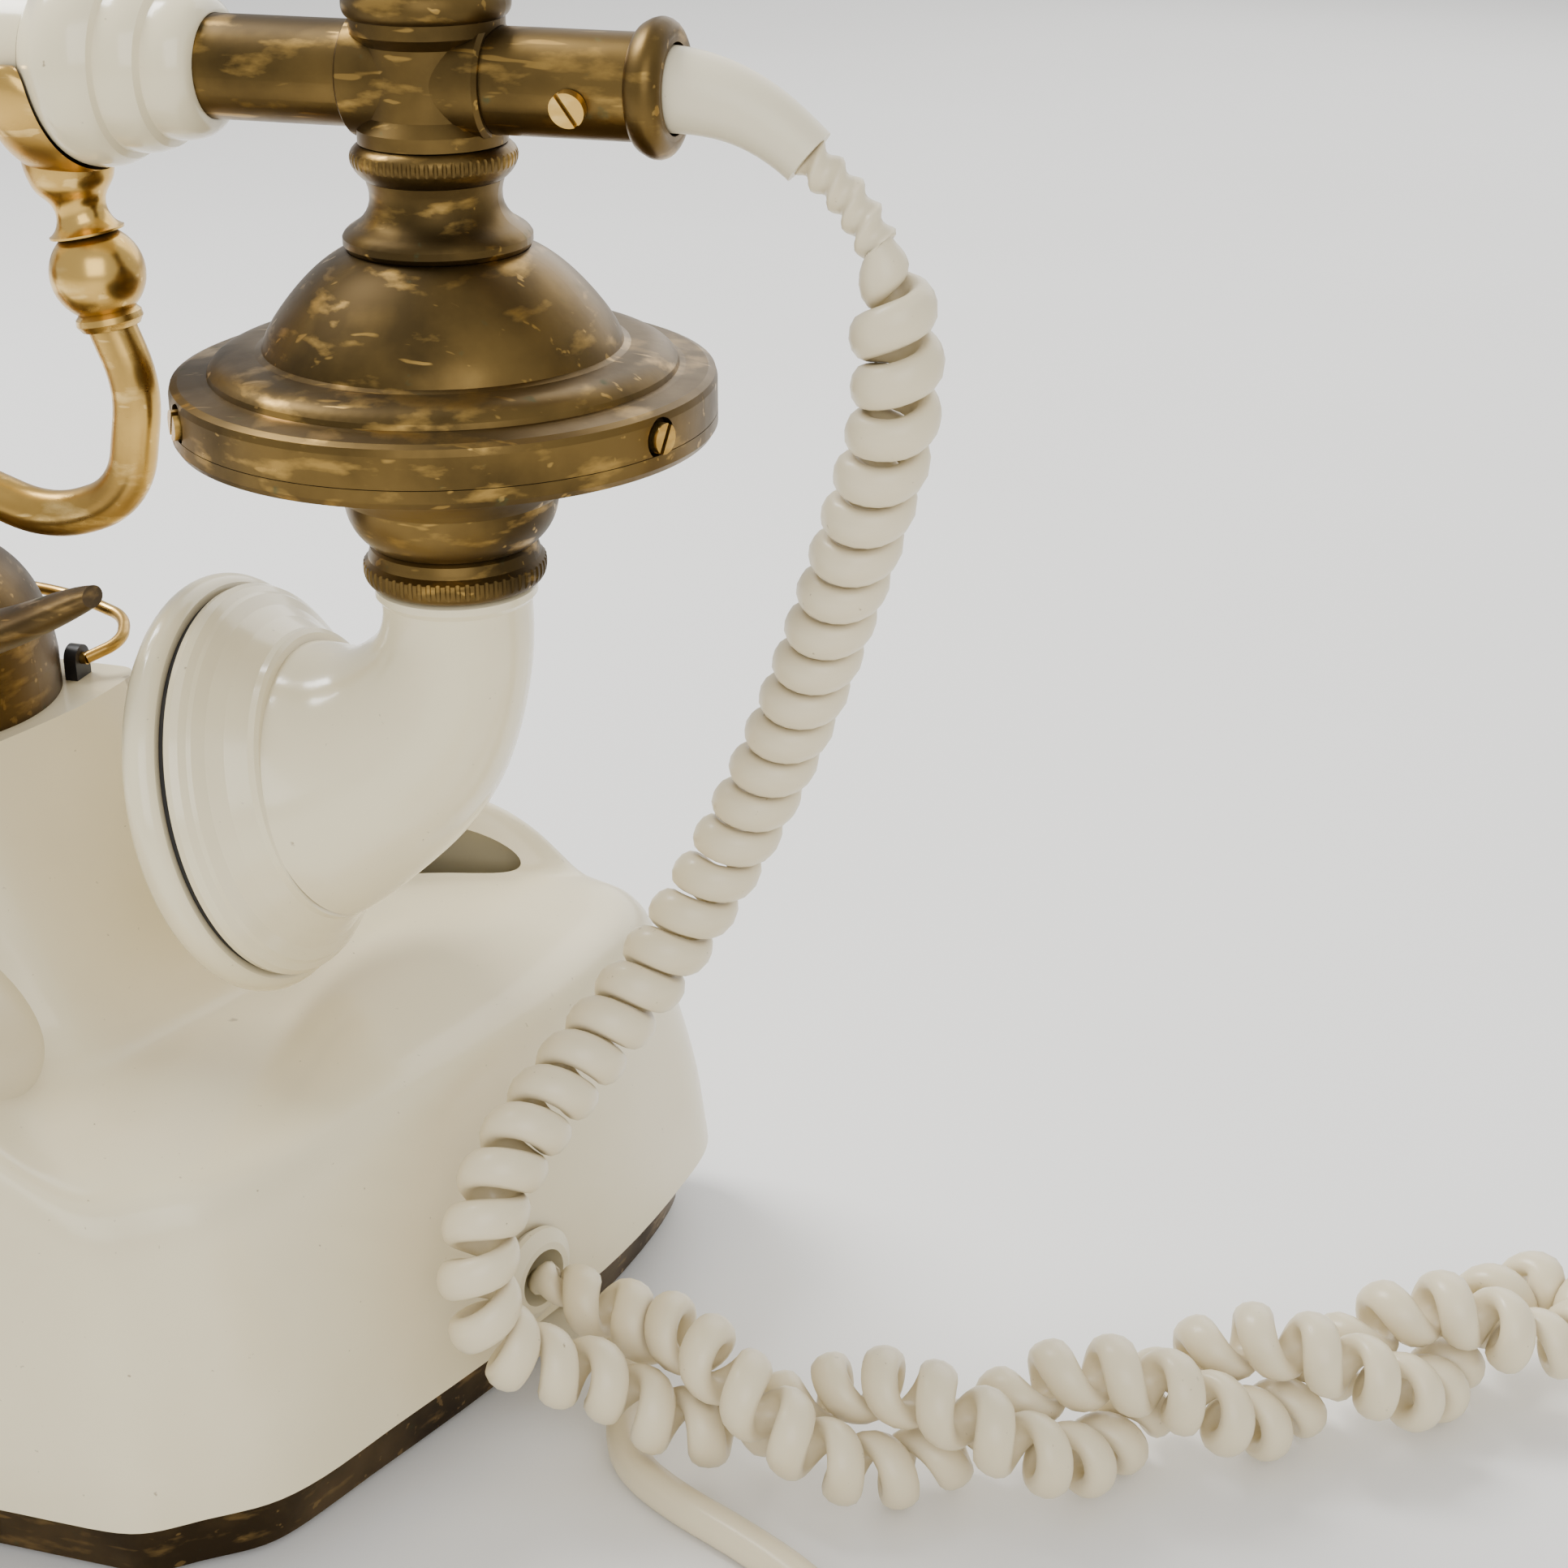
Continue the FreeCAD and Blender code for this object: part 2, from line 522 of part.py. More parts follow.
# --------------------------------------------------------------- the handset
def ferrule_profile(grow=0.0):
    """Stepped ivory end of the handle, (radius, x)."""
    big = FERRULE_D / 2 + grow
    x = FERRULE_X
    return [(GRIP_D / 2 + grow, x - 7.2), (GRIP_D / 2 + 1.2 + grow, x - 6.3), (big - 2.0, x - 4.6),
            (big - .5, x - 2.4), (big, x), (big - .35, x + 2.6), (big - 1.3, x + 4.4),
            (big - 2.1, x + 4.8), (big - 2.1, x + 5.6), (big - 2.3, x + 8.0), (big - 3.0, x + 9.8),
            (big - 3.9, x + 10.3), (big - 3.9, x + 11.2), (big - 4.2, x + 13.6),
            (big - 5.2, x + 15.4), (big - 6.6, x + 16.0)]


def ferrule_solid(grow=0.0):
    """Ferrule about Z before it is laid along X."""
    bore = TUBE_D / 2 + HEAD_FIT if not grow else 0.0
    return lathe(ferrule_profile(grow), [(0, 6), (8, 10), (12, 15)], bore)


def handle_grip():
    """Ivory sleeve between the two ferrules, thickest in the middle."""
    end = FERRULE_X - 7.25
    r = GRIP_D / 2
    swell = GRIP_SWELL / 2
    profile = [(r, -end), (r, -end + 4), ((r * 2 + swell) / 3, -end * .55), (swell, 0),
               ((r * 2 + swell) / 3, end * .55), (r, end - 4), (r, end)]
    return along_x(lathe(profile, [(1, 5)], TUBE_D / 2 + HEAD_FIT))


def tee_block():
    """Brass tee that clamps the head to the tube."""
    clear = TUBE_D / 2 + HEAD_FIT
    sleeve = lathe([(7.0, -9.8), (7.6, -9.3), (7.6, 8.5), (7.0, 9.0)])
    sleeve = along_x(sleeve).translated(V(HEAD_X, 0, 0))
    spigots = hang(lathe([(9.6, 7.35), (9.6, 5.6), (8.2, 4.2), (8.2, -4.4), (9.4, -6.0), (9.4, -7.7)]), HEAD_X)
    return sleeve.fuse(spigots).cut(rod(clear, V(HEAD_X - 20, 0, AXIS_Z), V(HEAD_X + 20, 0, AXIS_Z)))


def tee_finial():
    """Bead and low knob that close the tee at the top."""
    return hang(lathe([(0.01, 17.2), (2.2, 16.9), (4.4, 15.6), (6.0, 13.6), (6.6, 12.2), (8.6, 11.6),
                       (9.8, 10.9), (10.4, 9.4), (10.3, 8.2), (9.6, 7.35)], [(0, 4), (5, 9)]), HEAD_X).cut(tee_block())


def ribbed(profile, smooth, low, high, radius):
    """Turned ring with straight flutes round it."""
    ring = lathe(profile, smooth)
    cutters = []
    for i in range(RIB_COUNT):
        a = 2 * math.pi * i / RIB_COUNT
        flute = 2 * math.pi * radius / RIB_COUNT * 0.30
        spot = V((radius + flute * .30) * math.cos(a), (radius + flute * .30) * math.sin(a), low)
        cutters.append(Part.makeCylinder(flute, high - low, spot))
    return ring.cut(Part.makeCompound(cutters))


def upper_ring():
    """Fluted ring under the tee."""
    return hang(ribbed([(9.0, -7.75), (9.9, -8.2), (10.5, -9.2), (10.35, -10.3), (9.5, -11.6), (8.8, -12.2)],
                       [(0, 5)], -11.7, -8.0, 10.5), HEAD_X)


def neck():
    """Waisted brass neck that flares to the case."""
    w = NECK_D / 2
    return hang(lathe([(w + .4, -12.25), (w + .05, -13.5), (w, -14.8), (w + .45, -16.2), (w + 1.5, -17.5),
                       (w + 2.9, -18.4), (w + 3.65, -19.3), (w + 3.65, -20.2), (w + 3.2, -20.9)],
                      [(0, 6)], 3.0), HEAD_X)


def case_cover():
    """Domed upper half of the transmitter case with its stepped rim."""
    rim = FLANGE_D / 2
    outside = [(NECK_D / 2 + 3.3, -20.95), (14.6, -22.6), (18.0, -25.6), (21.0, -29.2), (22.6, -31.8),
               (23.1, -33.2), (24.0, -33.5), (26.5, -33.7), (28.8, -34.4), (30.0, -35.5),
               (30.2, -36.2), (31.0, -36.35), (rim - 1.2, -36.7), (rim - .25, -37.1), (rim, -38.0),
               (rim, -42.0)]
    solid = lathe(outside, [(0, 5), (6, 9)])
    room = lathe([(4, -22.5), (11, -23.6), (16.0, -26.8), (19.0, -30.2), (21.0, -34.0), (28.5, -37.8),
                  (rim - WALL_T, -39.0), (rim - WALL_T, -42.5)])
    cover = solid.cut(room).cut(rod(3.0, V(0, 0, -30), V(0, 0, -18)))
    for a in rim_screw_angles():
        at = V(rim * math.cos(a), rim * math.sin(a), -40.0)
        cover = cover.cut(rod(2.6, at * 1.0, V(at.x * .965, at.y * .965, -40.0)))
        cover = cover.cut(rod(1.25, at, V(at.x * .9, at.y * .9, -40.0)))
    return hang(cover, HEAD_X)


def rim_screw_angles():
    """Three screws round the rim of the transmitter case."""
    return [math.radians(a) for a in (-139, -19, 101)]


def rim_screws():
    """Slotted screws that hold the case halves together."""
    rim = FLANGE_D / 2
    screws = []
    for a in rim_screw_angles():
        ray = V(math.cos(a), math.sin(a), 0)
        base = ray * (rim * .965)
        base.z = -40.0
        head = rod(1.95, base, base + ray * 1.9)
        shank = rod(1.2, base - ray * 3.4, base + ray * 0.2)
        slot = Part.makeBox(1.2, 5.2, 0.7, V(-0.2, -2.6, -0.35))
        slot.Placement = FreeCAD.Placement(base + ray * 1.2, FreeCAD.Rotation(
            V(1, 0, 0), ray)).multiply(FreeCAD.Placement(V(0, 0, 0), FreeCAD.Rotation(V(1, 0, 0), 62)))
        screws.append(join(head, shank).cut(slot))
    return hang(Part.makeCompound(screws), HEAD_X)


def case_bowl():
    """Lower half of the transmitter case: rim plate and stepped bowl."""
    rim = FLANGE_D / 2
    outside = [(rim, -42.1), (rim, -43.7), (rim - .5, -44.5), (30.0, -45.6), (22.0, -47.2), (17.2, -49.6),
               (15.1, -52.2), (14.7, -52.9), (14.1, -53.1), (14.0, -54.6), (13.3, -56.9), (12.3, -58.4),
               (11.0, -59.6)]
    solid = lathe(outside, [(3, 6), (8, 12)])
    room = lathe([(rim - 3.2, -41.9), (rim - 3.2, -43.2), (21.0, -45.2), (15.0, -48.2), (12.4, -52.5),
                  (11.6, -55.5), (8.0, -57.6), (8.0, -60.0)])
    tongue = pipe(rim - WALL_T - .1, rim - WALL_T - 1.15, V(0, 0, -42.3), V(0, 0, -39.4))
    bowl = join(solid.cut(room), tongue)
    for a in rim_screw_angles():
        at = V(rim * math.cos(a), rim * math.sin(a), -40.0)
        bowl = bowl.cut(rod(1.25, at, V(at.x * .85, at.y * .85, -40.0)))
    return hang(bowl, HEAD_X)


def transmitter_capsule():
    """Carbon capsule held in the case."""
    return hang(lathe([(9, -30.4), (13, -31), (14, -34.5), (27, -38.2), (29.6, -38.8), (29.6, -41.0), (26, -42.6),
                       (10, -43.4)]), HEAD_X)


def lower_ring():
    """Fluted union ring that holds the horn."""
    return hang(ribbed([(10.6, -59.65), (11.1, -60.2), (11.35, -61.2), (11.45, -61.7), (12.1, -62.4),
                        (12.15, -63.5), (11.7, -64.8), (10.8, -65.4)],
                       [(4, 7)], -65.2, -62.2, 12.15), HEAD_X)


def station_loft(stations):
    """Loft through circles given as (x, z, direction degrees below -X, radius)."""
    wires = []
    for x, z, angle, radius in stations:
        a = math.radians(angle)
        axis = V(-math.cos(a), 0, -math.sin(a))
        wires.append(Part.Wire(Part.Circle(V(x, 0, z), axis, radius).toShape()))
    return Part.makeLoft(wires, True)


def horn_stations(wall):
    """Centre line of the horn from its neck to its collar."""
    grow = HORN_D / 2 - 10.1 - wall
    path = [(0, 67.6, 90, 10.1), (0, 70.5, 90, 10.1), (-.7, 75.2, 80, 10.6), (-2.5, 80.4, 64, 11.7),
            (-5.6, 85.8, 51, 13.5), (-10.3, 90.4, 39, 15.6), (-15.8, 93.8, 28, 17.8), (-20.5, 96.4, 17, 19.9)]
    return [(HEAD_X + x, AXIS_Z - d, angle, r + grow) for x, d, angle, r in path]


def mouth_place(shape):
    """Shape made about Z, z = 0 at the joint of the cup and its cap, z towards the mouth."""
    a = math.radians(MOUTH_TILT)
    turn = FreeCAD.Rotation(V(0, 0, 1), V(-math.cos(a), 0, -math.sin(a)))
    spot = V(HEAD_X - 29.6, 0, AXIS_Z - 98.4)
    return shape.transformed(FreeCAD.Placement(spot, turn).toMatrix(), True)


def horn():
    """Ivory elbow that carries the sound from the cup up to the transmitter."""
    bead = hang(lathe([(10.2, -65.45), (10.85, -66.0), (10.85, -67.0), (10.2, -67.8)]), HEAD_X)
    elbow = station_loft(horn_stations(0.0))
    r = MOUTH_D / 2
    cup = mouth_place(lathe([(19.6, -9.8), (20.3, -9.5), (20.5, -8.6), (22.4, -6.2), (24.2, -4.4),
                             (25.9, -3.4), (26.3, -2.9), (r - 2.5, -2.2), (r - 2.0, -1.2), (r - 2.2, -.2)]))
    bore = station_loft(horn_stations(2.2))
    neck_bore = hang(rod(HORN_D / 2 - 2.2, V(0, 0, -68), V(0, 0, -64)), HEAD_X)
    mouth = mouth_place(lathe([(17.6, -12), (18.2, -8), (22.6, -3), (r - 5, 1)]))
    return elbow.fuse(bead).fuse(cup).cut(bore).cut(neck_bore).cut(mouth)


def mouth_gasket():
    """Dark ring that shows in the joint of the mouthpiece."""
    r = MOUTH_D / 2
    return mouth_place(turned([(r - 5.4, -.15), (r - 2.6, -.15), (r - 2.6, .75), (r - 5.4, .75)]))


def mouth_cap():
    """Rounded ivory cap that screws on the cup."""
    r = MOUTH_D / 2
    cap = turned([(r - 5.4, .8), (r - 1.6, .8), (r - .6, 1.5), (r, 3.0), (r - .4, 4.6), (r - 1.9, 6.0), (r - 4.4, 6.7),
                  (r - 8, 6.3), (r - 14, 4.4), (4.0, 3.6), (4.0, 2.2), (r - 13, 2.8), (r - 6, 4.2)],
                 [(1, 8), (9, 9)][:1])
    holes = []
    for ring, count in ((8.0, 6), (12.5, 12)):
        for i in range(count):
            a = 2 * math.pi * i / count
            holes.append(Part.makeCylinder(1.3, 9, V(ring * math.cos(a), ring * math.sin(a), 0)))
    return mouth_place(cap.cut(Part.makeCompound(holes)))


def receiver_shell():
    """Bell-shaped brass receiver case."""
    r = EARCAP_D / 2 - 2.5
    return hang(lathe([(NECK_D / 2 + 3.3, -20.95), (14.6, -22.4), (19.4, -25.4), (22.8, -30.0), (24.6, -36.0),
                       (r - 1.0, -42.0), (r, -44.5), (r, -47.0)], [(0, 5)])
                .cut(lathe([(4, -23), (13, -24.4), (20.5, -30.4), (22.4, -36.5), (22.8, -47.5)]))
                .cut(rod(3.0, V(0, 0, -30), V(0, 0, -18))), HEAD_X)


def ear_cap():
    """Ivory ear cap with a dished face."""
    r = EARCAP_D / 2
    cap = turned([(23.4, -47.05), (r - 1.0, -47.05), (r, -48.2), (r, -51.0), (r - 2.0, -54.4), (r - 5, -55.6),
                  (r - 10, -54.8), (8, -52.6), (3.0, -52.4), (3.0, -50.4), (23.4, -50.4)], [(3, 6)])
    holes = [Part.makeCylinder(1.4, 9, V(7 * math.cos(a), 7 * math.sin(a), -55))
             for a in [math.pi / 3 * i for i in range(6)]]
    return hang(cap.cut(Part.makeCompound(holes)), HEAD_X)


def receiver_unit():
    """Magnet and coil unit inside the receiver."""
    return hang(lathe([(8, -29), (12, -29.5), (12, -33), (20.5, -38), (22.0, -39), (22.0, -46.6)]), HEAD_X)


def tube_collar(end):
    """Rolled bead that finishes the open end of the tube."""
    bead = lathe([(6.4, end - 2.6), (7.4, end - 2.2), (8.1, end - 1.2), (8.45, end), (8.1, end + 1.2),
                  (7.2, end + 1.9), (6.2, end + 2.0)], [(0, 6)], BOOT_D / 2 + 0.35)
    return along_x(bead)


def core_tube():
    """Brass tube through the whole handset, closed at the receiver end."""
    end = HEAD_X + TUBE_END - 2.65
    tube = lathe([(TUBE_D / 2, -end), (TUBE_D / 2, end)], (), TUBE_D / 2 - TUBE_WALL)
    tube = along_x(tube)
    for x in (HEAD_X, -HEAD_X):
        tube = tube.cut(rod(2.5, V(x, 0, AXIS_Z - 9), V(x, 0, AXIS_Z)))
    screw = tube_screw_place()
    return tube.cut(rod(1.25, screw[0], screw[0] - screw[1] * 6))


def tube_screw_place():
    """Point on the tube's surface and outward direction of the clamp screw."""
    a = math.radians(-14)
    out = V(0, -math.cos(a), -math.sin(a) * -1)
    return V(HEAD_X + 20.6, 0, AXIS_Z) + out * (TUBE_D / 2), out


def tube_screw():
    """Slotted screw that pinches the strain relief in the tube."""
    at, out = tube_screw_place()
    dome = rod(2.25, at + out * 0.05, at + out * 1.3)
    shank = rod(1.2, at - out * 1.25, at + out * 0.1)
    slot = Part.makeBox(5, 2, 0.6, V(-2.5, 0.75, -0.3))
    slot.Placement = FreeCAD.Placement(at, FreeCAD.Rotation(V(0, 1, 0), out)).multiply(
        FreeCAD.Placement(V(0, 0, 0), FreeCAD.Rotation(V(0, 1, 0), -60)))
    return join(dome, shank).cut(slot)


def end_cap():
    """Turned stopper in the receiver end of the tube."""
    end = HEAD_X + TUBE_END
    cap = lathe([(6.4, end - 2.6), (7.4, end - 2.2), (8.1, end - 1.2), (8.45, end), (8.0, end + 1.3),
                 (6.0, end + 2.2), (3.0, end + 2.9), (0.01, end + 3.0)], [(0, 7)])
    return mirrored(along_x(cap))


# ------------------------------------------------------------ inside the body
def ringer_parts():
    """Two gongs, the frame with its coils and the swinging clapper."""
    floor = TRAY_BOTTOM + TRAY_T
    gongs = []
    for x in (25.0, -25.0):
        bell = turned([(0, 33), (9, 32.6), (17, 29), (20.5, 22), (21.2, 16), (20.0, 16), (19.2, 22),
                       (16, 27.8), (9, 31.2), (0, 31.4)], [(1, 4), (5, 8)])
        post = rod(2.0, V(0, 0, floor), V(0, 0, 34.5))
        gongs.append(join(bell, post).translated(V(x, 32, 0)))
    plate = Part.makeBox(30, 12, 2, V(-15, 0, 40))
    legs = join(plate, Part.makeBox(3, 12, 40 - floor + .5, V(-15, 0, floor)),
                Part.makeBox(3, 12, 40 - floor + .5, V(12, 0, floor)))
    coils = Part.makeCompound([rod(4.6, V(x, 6, 27.0), V(x, 6, 39.95)) for x in (-6.0, 6.0)])
    arm = join(rod(1.0, V(0, 6, 24.0), V(0, 30, 24.0)), Part.makeSphere(2.6, V(0, 31.5, 24.0)),
               Part.makeBox(17, 4, 1.6, V(-8.5, 4, 24.2)))
    pivot = rod(1.5, V(0, 6, floor), V(0, 6, 22.9))
    return {"gongs": Part.makeCompound(gongs), "ringer_frame": Part.makeCompound([legs, pivot]),
            "ringer_coils": coils, "ringer_clapper": arm}


def inner_parts():
    """Fixed electrical pieces on the tray floor and the switch under the plateau."""
    floor = TRAY_BOTTOM + TRAY_T
    induction = join(rod(8, V(-80, 12, floor + 11), V(-50, 12, floor + 11)),
                     Part.makeBox(2, 22, 22, V(-82, 1, floor)), Part.makeBox(2, 22, 22, V(-50, 1, floor)))
    condenser = Part.makeBox(34, 16, 26, V(40, -2, floor))
    block = Part.makeBox(44, 14, 9, V(-22, -18, floor))
    pegs = [rod(2.8, V(-16 + 8 * i, -11, floor + 8), V(-16 + 8 * i, -11, floor + 10.6)) for i in range(5)]
    block = join(block, *pegs)
    low = PLATEAU_Z - 34
    bracket = join(Part.makeBox(3, 14, PLATEAU_Z - ROOF_T - low, V(9, -7, low)),
                   Part.makeBox(20, 14, 2.4, V(-8, -7, low)))
    bracket = bracket.cut(rod(PLUNGER_D / 2 + RUN_GAP, V(0, 0, low - 3), V(0, 0, low + 5)))
    leaves = Part.makeCompound([Part.makeBox(0.5, 8, 24, V(12.4 + 2.2 * i, -4, low + 2)) for i in range(3)])
    return {"induction_coil": induction, "condenser": condenser, "terminal_block": block,
            "switch_bracket": bracket, "switch_leaves": leaves}


def plunger():
    """Rod from the cradle hub through the pillar to the switch."""
    top = AXIS_Z - ARM_BEND_DROP - 1.4
    collar = rod(5, V(0, 0, PLATEAU_Z - 16), V(0, 0, PLATEAU_Z - 13))
    return join(rod(PLUNGER_D / 2, V(0, 0, PLATEAU_Z - 40), V(0, 0, top)), collar,
                rod(PLUNGER_D / 2 - 1.05, V(0, 0, top - 1), V(0, 0, top + 1.35)))


def return_spring():
    """Coil spring under the plunger's collar, as a plain sleeve."""
    return pipe(4.6, 3.5, V(0, 0, PLATEAU_Z - 31.5), V(0, 0, PLATEAU_Z - 16.1))


def carry_bail():
    """Thin brass handle that lies behind the pillar, and its pivot brackets."""
    z = PLATEAU_Z + 3.0
    x = BAIL_X
    wire = tube_along([V(-x - 1.6, BAIL_Y, z), V(-x - 5.5, BAIL_Y + 4, z + 1.6), V(-x - 3, BAIL_Y + 10, z + 3.2),
                       V(-11, BAIL_Y + 14, z + 4.2), V(1, BAIL_Y + 15, z + 4.5), V(12, BAIL_Y + 13.8, z + 4.1),
                       V(x + 3, BAIL_Y + 9.8, z + 3.1), V(x + 5.5, BAIL_Y + 4, z + 1.6),
                       V(x + 1.6, BAIL_Y, z)], BAIL_D, "carry_bail")
    pins = [rod(BAIL_D / 2, V(s * (x - 1.4), BAIL_Y, z), V(s * (x + 1.9), BAIL_Y, z)) for s in (1, -1)]
    brackets = []
    for s in (1, -1):
        lug = join(Part.makeBox(2, 4, z - PLATEAU_Z, V(-1, -2, PLATEAU_Z)), rod(2, V(-1, 0, z), V(1, 0, z)))
        lug = lug.cut(rod(BAIL_D / 2 + RUN_GAP, V(-2, 0, z), V(2, 0, z)))
        brackets.append(lug.translated(V(s * x, BAIL_Y, 0)))
    return join(wire, *pins), Part.makeCompound(brackets)


# ----------------------------------------------------------------- the cords
def boot():
    """Tapered strain relief that bends down out of the collar."""
    r = BOOT_D / 2
    x = HEAD_X + TUBE_END
    stations = [(x - 14, 0, 0, r - .05), (x - 2, 0, 0, r - .05), (x + 3, -.1, -4, r - .1), (x + 8, -1.0, -15, r - .5),
                (x + 13, -3.1, -29, r - 1.0), (x + 18.6, -7.2, -BOOT_DROOP, r - 1.45)]
    wires = []
    for px, dz, angle, radius in stations:
        a = math.radians(angle)
        wires.append(Part.Wire(Part.Circle(V(px, 0, AXIS_Z + dz), V(math.cos(a), 0, math.sin(a)),
                                           radius).toShape()))
    return Part.makeLoft(wires, True)


# Middle of the two cord strands that lie twisted together on the table, a quarter turn apart.
PAIR_AXIS = [V(112.5, -13.6, 18.5), V(126.3, -14.9, 14.6), V(141.0, -14.0, 12.4), V(155.8, -11.2, 12.2),
             V(169.5, -6.6, 12.2), V(181.0, 1.4, 12.2), V(192.0, 9.9, 12.2), V(203.8, 15.2, 12.2),
             V(215.4, 22.0, 12.2), V(225.5, 31.0, 12.2), V(233.5, 37.5, 12.2)]
PAIR_R = 6.4                # strand from the middle of the pair
FLOOR_COIL_D = 11.2


def twisted(phase):
    """Points of one strand of the pair, eight to a turn, and its end run."""
    points = []
    for i in range(2 * len(PAIR_AXIS) - 1):
        here, there = PAIR_AXIS[i // 2], PAIR_AXIS[(i + 1) // 2]
        ahead = PAIR_AXIS[min(i // 2 + 1, len(PAIR_AXIS) - 1)] - PAIR_AXIS[max((i + 1) // 2 - 1, 0)]
        across = V(-ahead.y, ahead.x, 0).normalize()
        angle = math.radians(phase + 45 * i)
        points.append((here + there) * 0.5 + across * (PAIR_R * math.cos(angle)) +
                      V(0, 0, PAIR_R * math.sin(angle)))
    run = (PAIR_AXIS[-1] - PAIR_AXIS[-2])
    run.z = 0
    points.append(points[-1] + run.normalize() * 7.0)
    return points


def cord_solids():
    """Handset cord: a straight lead, the hanging coil, the twisted pair and its end turn."""
    boot_end = V(HEAD_X + TUBE_END + 18.6, 0, AXIS_Z - 7.2)
    droop = math.radians(BOOT_DROOP)
    lead = [boot_end, boot_end + V(math.cos(droop), 0, -math.sin(droop)) * 6.0, V(143.6, -1.2, 178.6),
            V(146.6, -2.6, 174.0)]
    out = twisted(180)
    back = twisted(0)
    meet = (V(104.2, -24.0, 21.6) + out[0]) * 0.5
    hang_top = lead[-1]
    hanging = [hang_top, hang_top + (lead[-1] - lead[-2]).normalize() * 6.0, V(148.4, -3.6, 158.5), V(143.8, 0.2, 144.0), V(138.4, 5.2, 129.0),
               V(132.6, 10.0, 113.5), V(126.2, 13.2, 98.5), V(119.6, 13.2, 84.5), V(112.8, 9.0, 72.0),
               V(106.6, 1.2, 63.0), V(101.8, -9.0, 57.0), V(98.4, -18.8, 51.8), V(96.7, -25.8, 44.0),
               V(96.8, -28.4, 35.0), V(98.9, -27.4, 27.0), V(104.2, -24.0, 21.6), meet]
    spot, out_of_wall = side_spot(CORD_Y, 0.7)
    exit_point = bush_place(Part.Vertex(0, 0, BUSH_OUT), CORD_Y, BUSH_Z).Point
    tail = [exit_point, exit_point + out_of_wall * 8.5]
    end_run = (PAIR_AXIS[-1] - PAIR_AXIS[-2])
    end_run.z = 0
    middle = (out[-1] + back[-1]) * 0.5
    ring = Part.makeTorus(PAIR_R, FLOOR_COIL_D / 2, middle, V(0, 0, 1))
    side = Part.makeBox(40, 40, 40, V(-40, -20, -20))
    side.Placement = FreeCAD.Placement(middle, FreeCAD.Rotation(V(1, 0, 0), end_run))
    return {"cord_lead": tube_along(lead, WIRE_D, "cord_lead"),
            "cord_coil_hanging": tube_along(hanging, COIL_D, "cord_coil_hanging"),
            "cord_coil_out": tube_along([meet] + out, FLOOR_COIL_D, "cord_coil_out"),
            "cord_coil_turn": ring.cut(side),
            "cord_coil_back": tube_along(tail + back, FLOOR_COIL_D, "cord_coil_back")}


LINE_BUSH_OUT = 8.0         # line cord bush beyond the tray wall
LINE_ROUTE = [V(110.9, -5.4, 5.6), V(111.6, -12.6, 3.6), V(115.6, -19.4, 2.9),
              V(124.0, -24.8, 2.9), V(134.5, -29.4, 2.9), V(146.0, -35.6, 2.9), V(156.5, -44.8, 2.9),
              V(164.0, -58.6, 2.9), V(162.5, -74.0, 2.9)]
COIL_CENTRE = V(184.0, -104.0, 0)
COIL_R = 31.0               # middle of the put-away turns
LEAD_ANGLE = 165.0          # where the lead joins the put-away coil


def line_cord():
    """Line cord: bush, the lead on the table, the put-away coil and the plug."""
    start = bush_place(Part.Vertex(0, 0, LINE_BUSH_OUT), LINE_Y, LINE_Z, TRAY_INSET).Point
    out = side_spot(LINE_Y)[1]
    angle = math.radians(LEAD_ANGLE)
    radial = V(math.cos(angle), math.sin(angle), 0)
    meet = COIL_CENTRE + radial * COIL_R + V(0, 0, LINE_D / 2 + 0.1)
    lead = tube_along([start, start + out * 7.0] + LINE_ROUTE + [meet], LINE_D, "line_cord_lead")
    coil = lathe([(COIL_R + 5.5, 16.9), (COIL_R + 7.7, 16.0), (COIL_R + 8.4, 14.0), (COIL_R + 8.4, 2.8),
                  (COIL_R + 7.6, 0.8), (COIL_R + 5.6, 0.0)], [], COIL_R - 8.4).translated(COIL_CENTRE)
    return lead, coil.cut(lead)


def cord_bush():
    """Tapered ivory bush where the handset cord leaves the body."""
    bush = lathe([(BUSH_D / 2 - 1.0, BUSH_OUT), (BUSH_D / 2 + .8, BUSH_OUT - 1.2), (BUSH_D / 2 + .8, 0.9),
                  (BUSH_D / 2 - .1, 0.9), (BUSH_D / 2 - .1, -5.0)], [], FLOOR_COIL_D / 2 - 1.2)
    return bush_place(bush, CORD_Y, BUSH_Z)


def line_bush():
    """Rubber bush in the tray wall for the line cord."""
    sleeve = lathe([(LINE_D / 2 + .9, LINE_BUSH_OUT), (4.55, 1.2), (4.55, -6.0)], [], LINE_D / 2 - .4)
    return bush_place(sleeve, LINE_Y, LINE_Z, TRAY_INSET)


def both(shape):
    """The same piece on the transmitter side and on the receiver side, as one node."""
    return Part.makeCompound([shape, mirrored(shape)])


def line_plug():
    """Round two-pin plug with a tapered sleeve, lying beside the put-away coil."""
    body = lathe([(2.9, 0), (4.2, 12), (5.6, 20), (10.5, 23), (11.4, 26), (11.4, 40), (10.4, 42)], [(0, 2)])
    pins = [rod(2.0, V(x, 0, 40), V(x, 0, 60)) for x in (-6.5, 6.5)]
    plug = join(body, *pins)
    angle = math.radians(PLUG_ANGLE)
    spot = COIL_CENTRE + V(math.cos(angle), math.sin(angle), 0) * COIL_R + V(0, 0, 11.45)
    turn = FreeCAD.Rotation(V(1, 0, 0), V(0, 0, 1), V(-math.sin(angle), math.cos(angle), 0), "XYZ")
    flat = FreeCAD.Rotation(V(0, 0, 1), V(-math.sin(angle), math.cos(angle), 0))
    return plug.transformed(FreeCAD.Placement(spot, flat).toMatrix(), True)


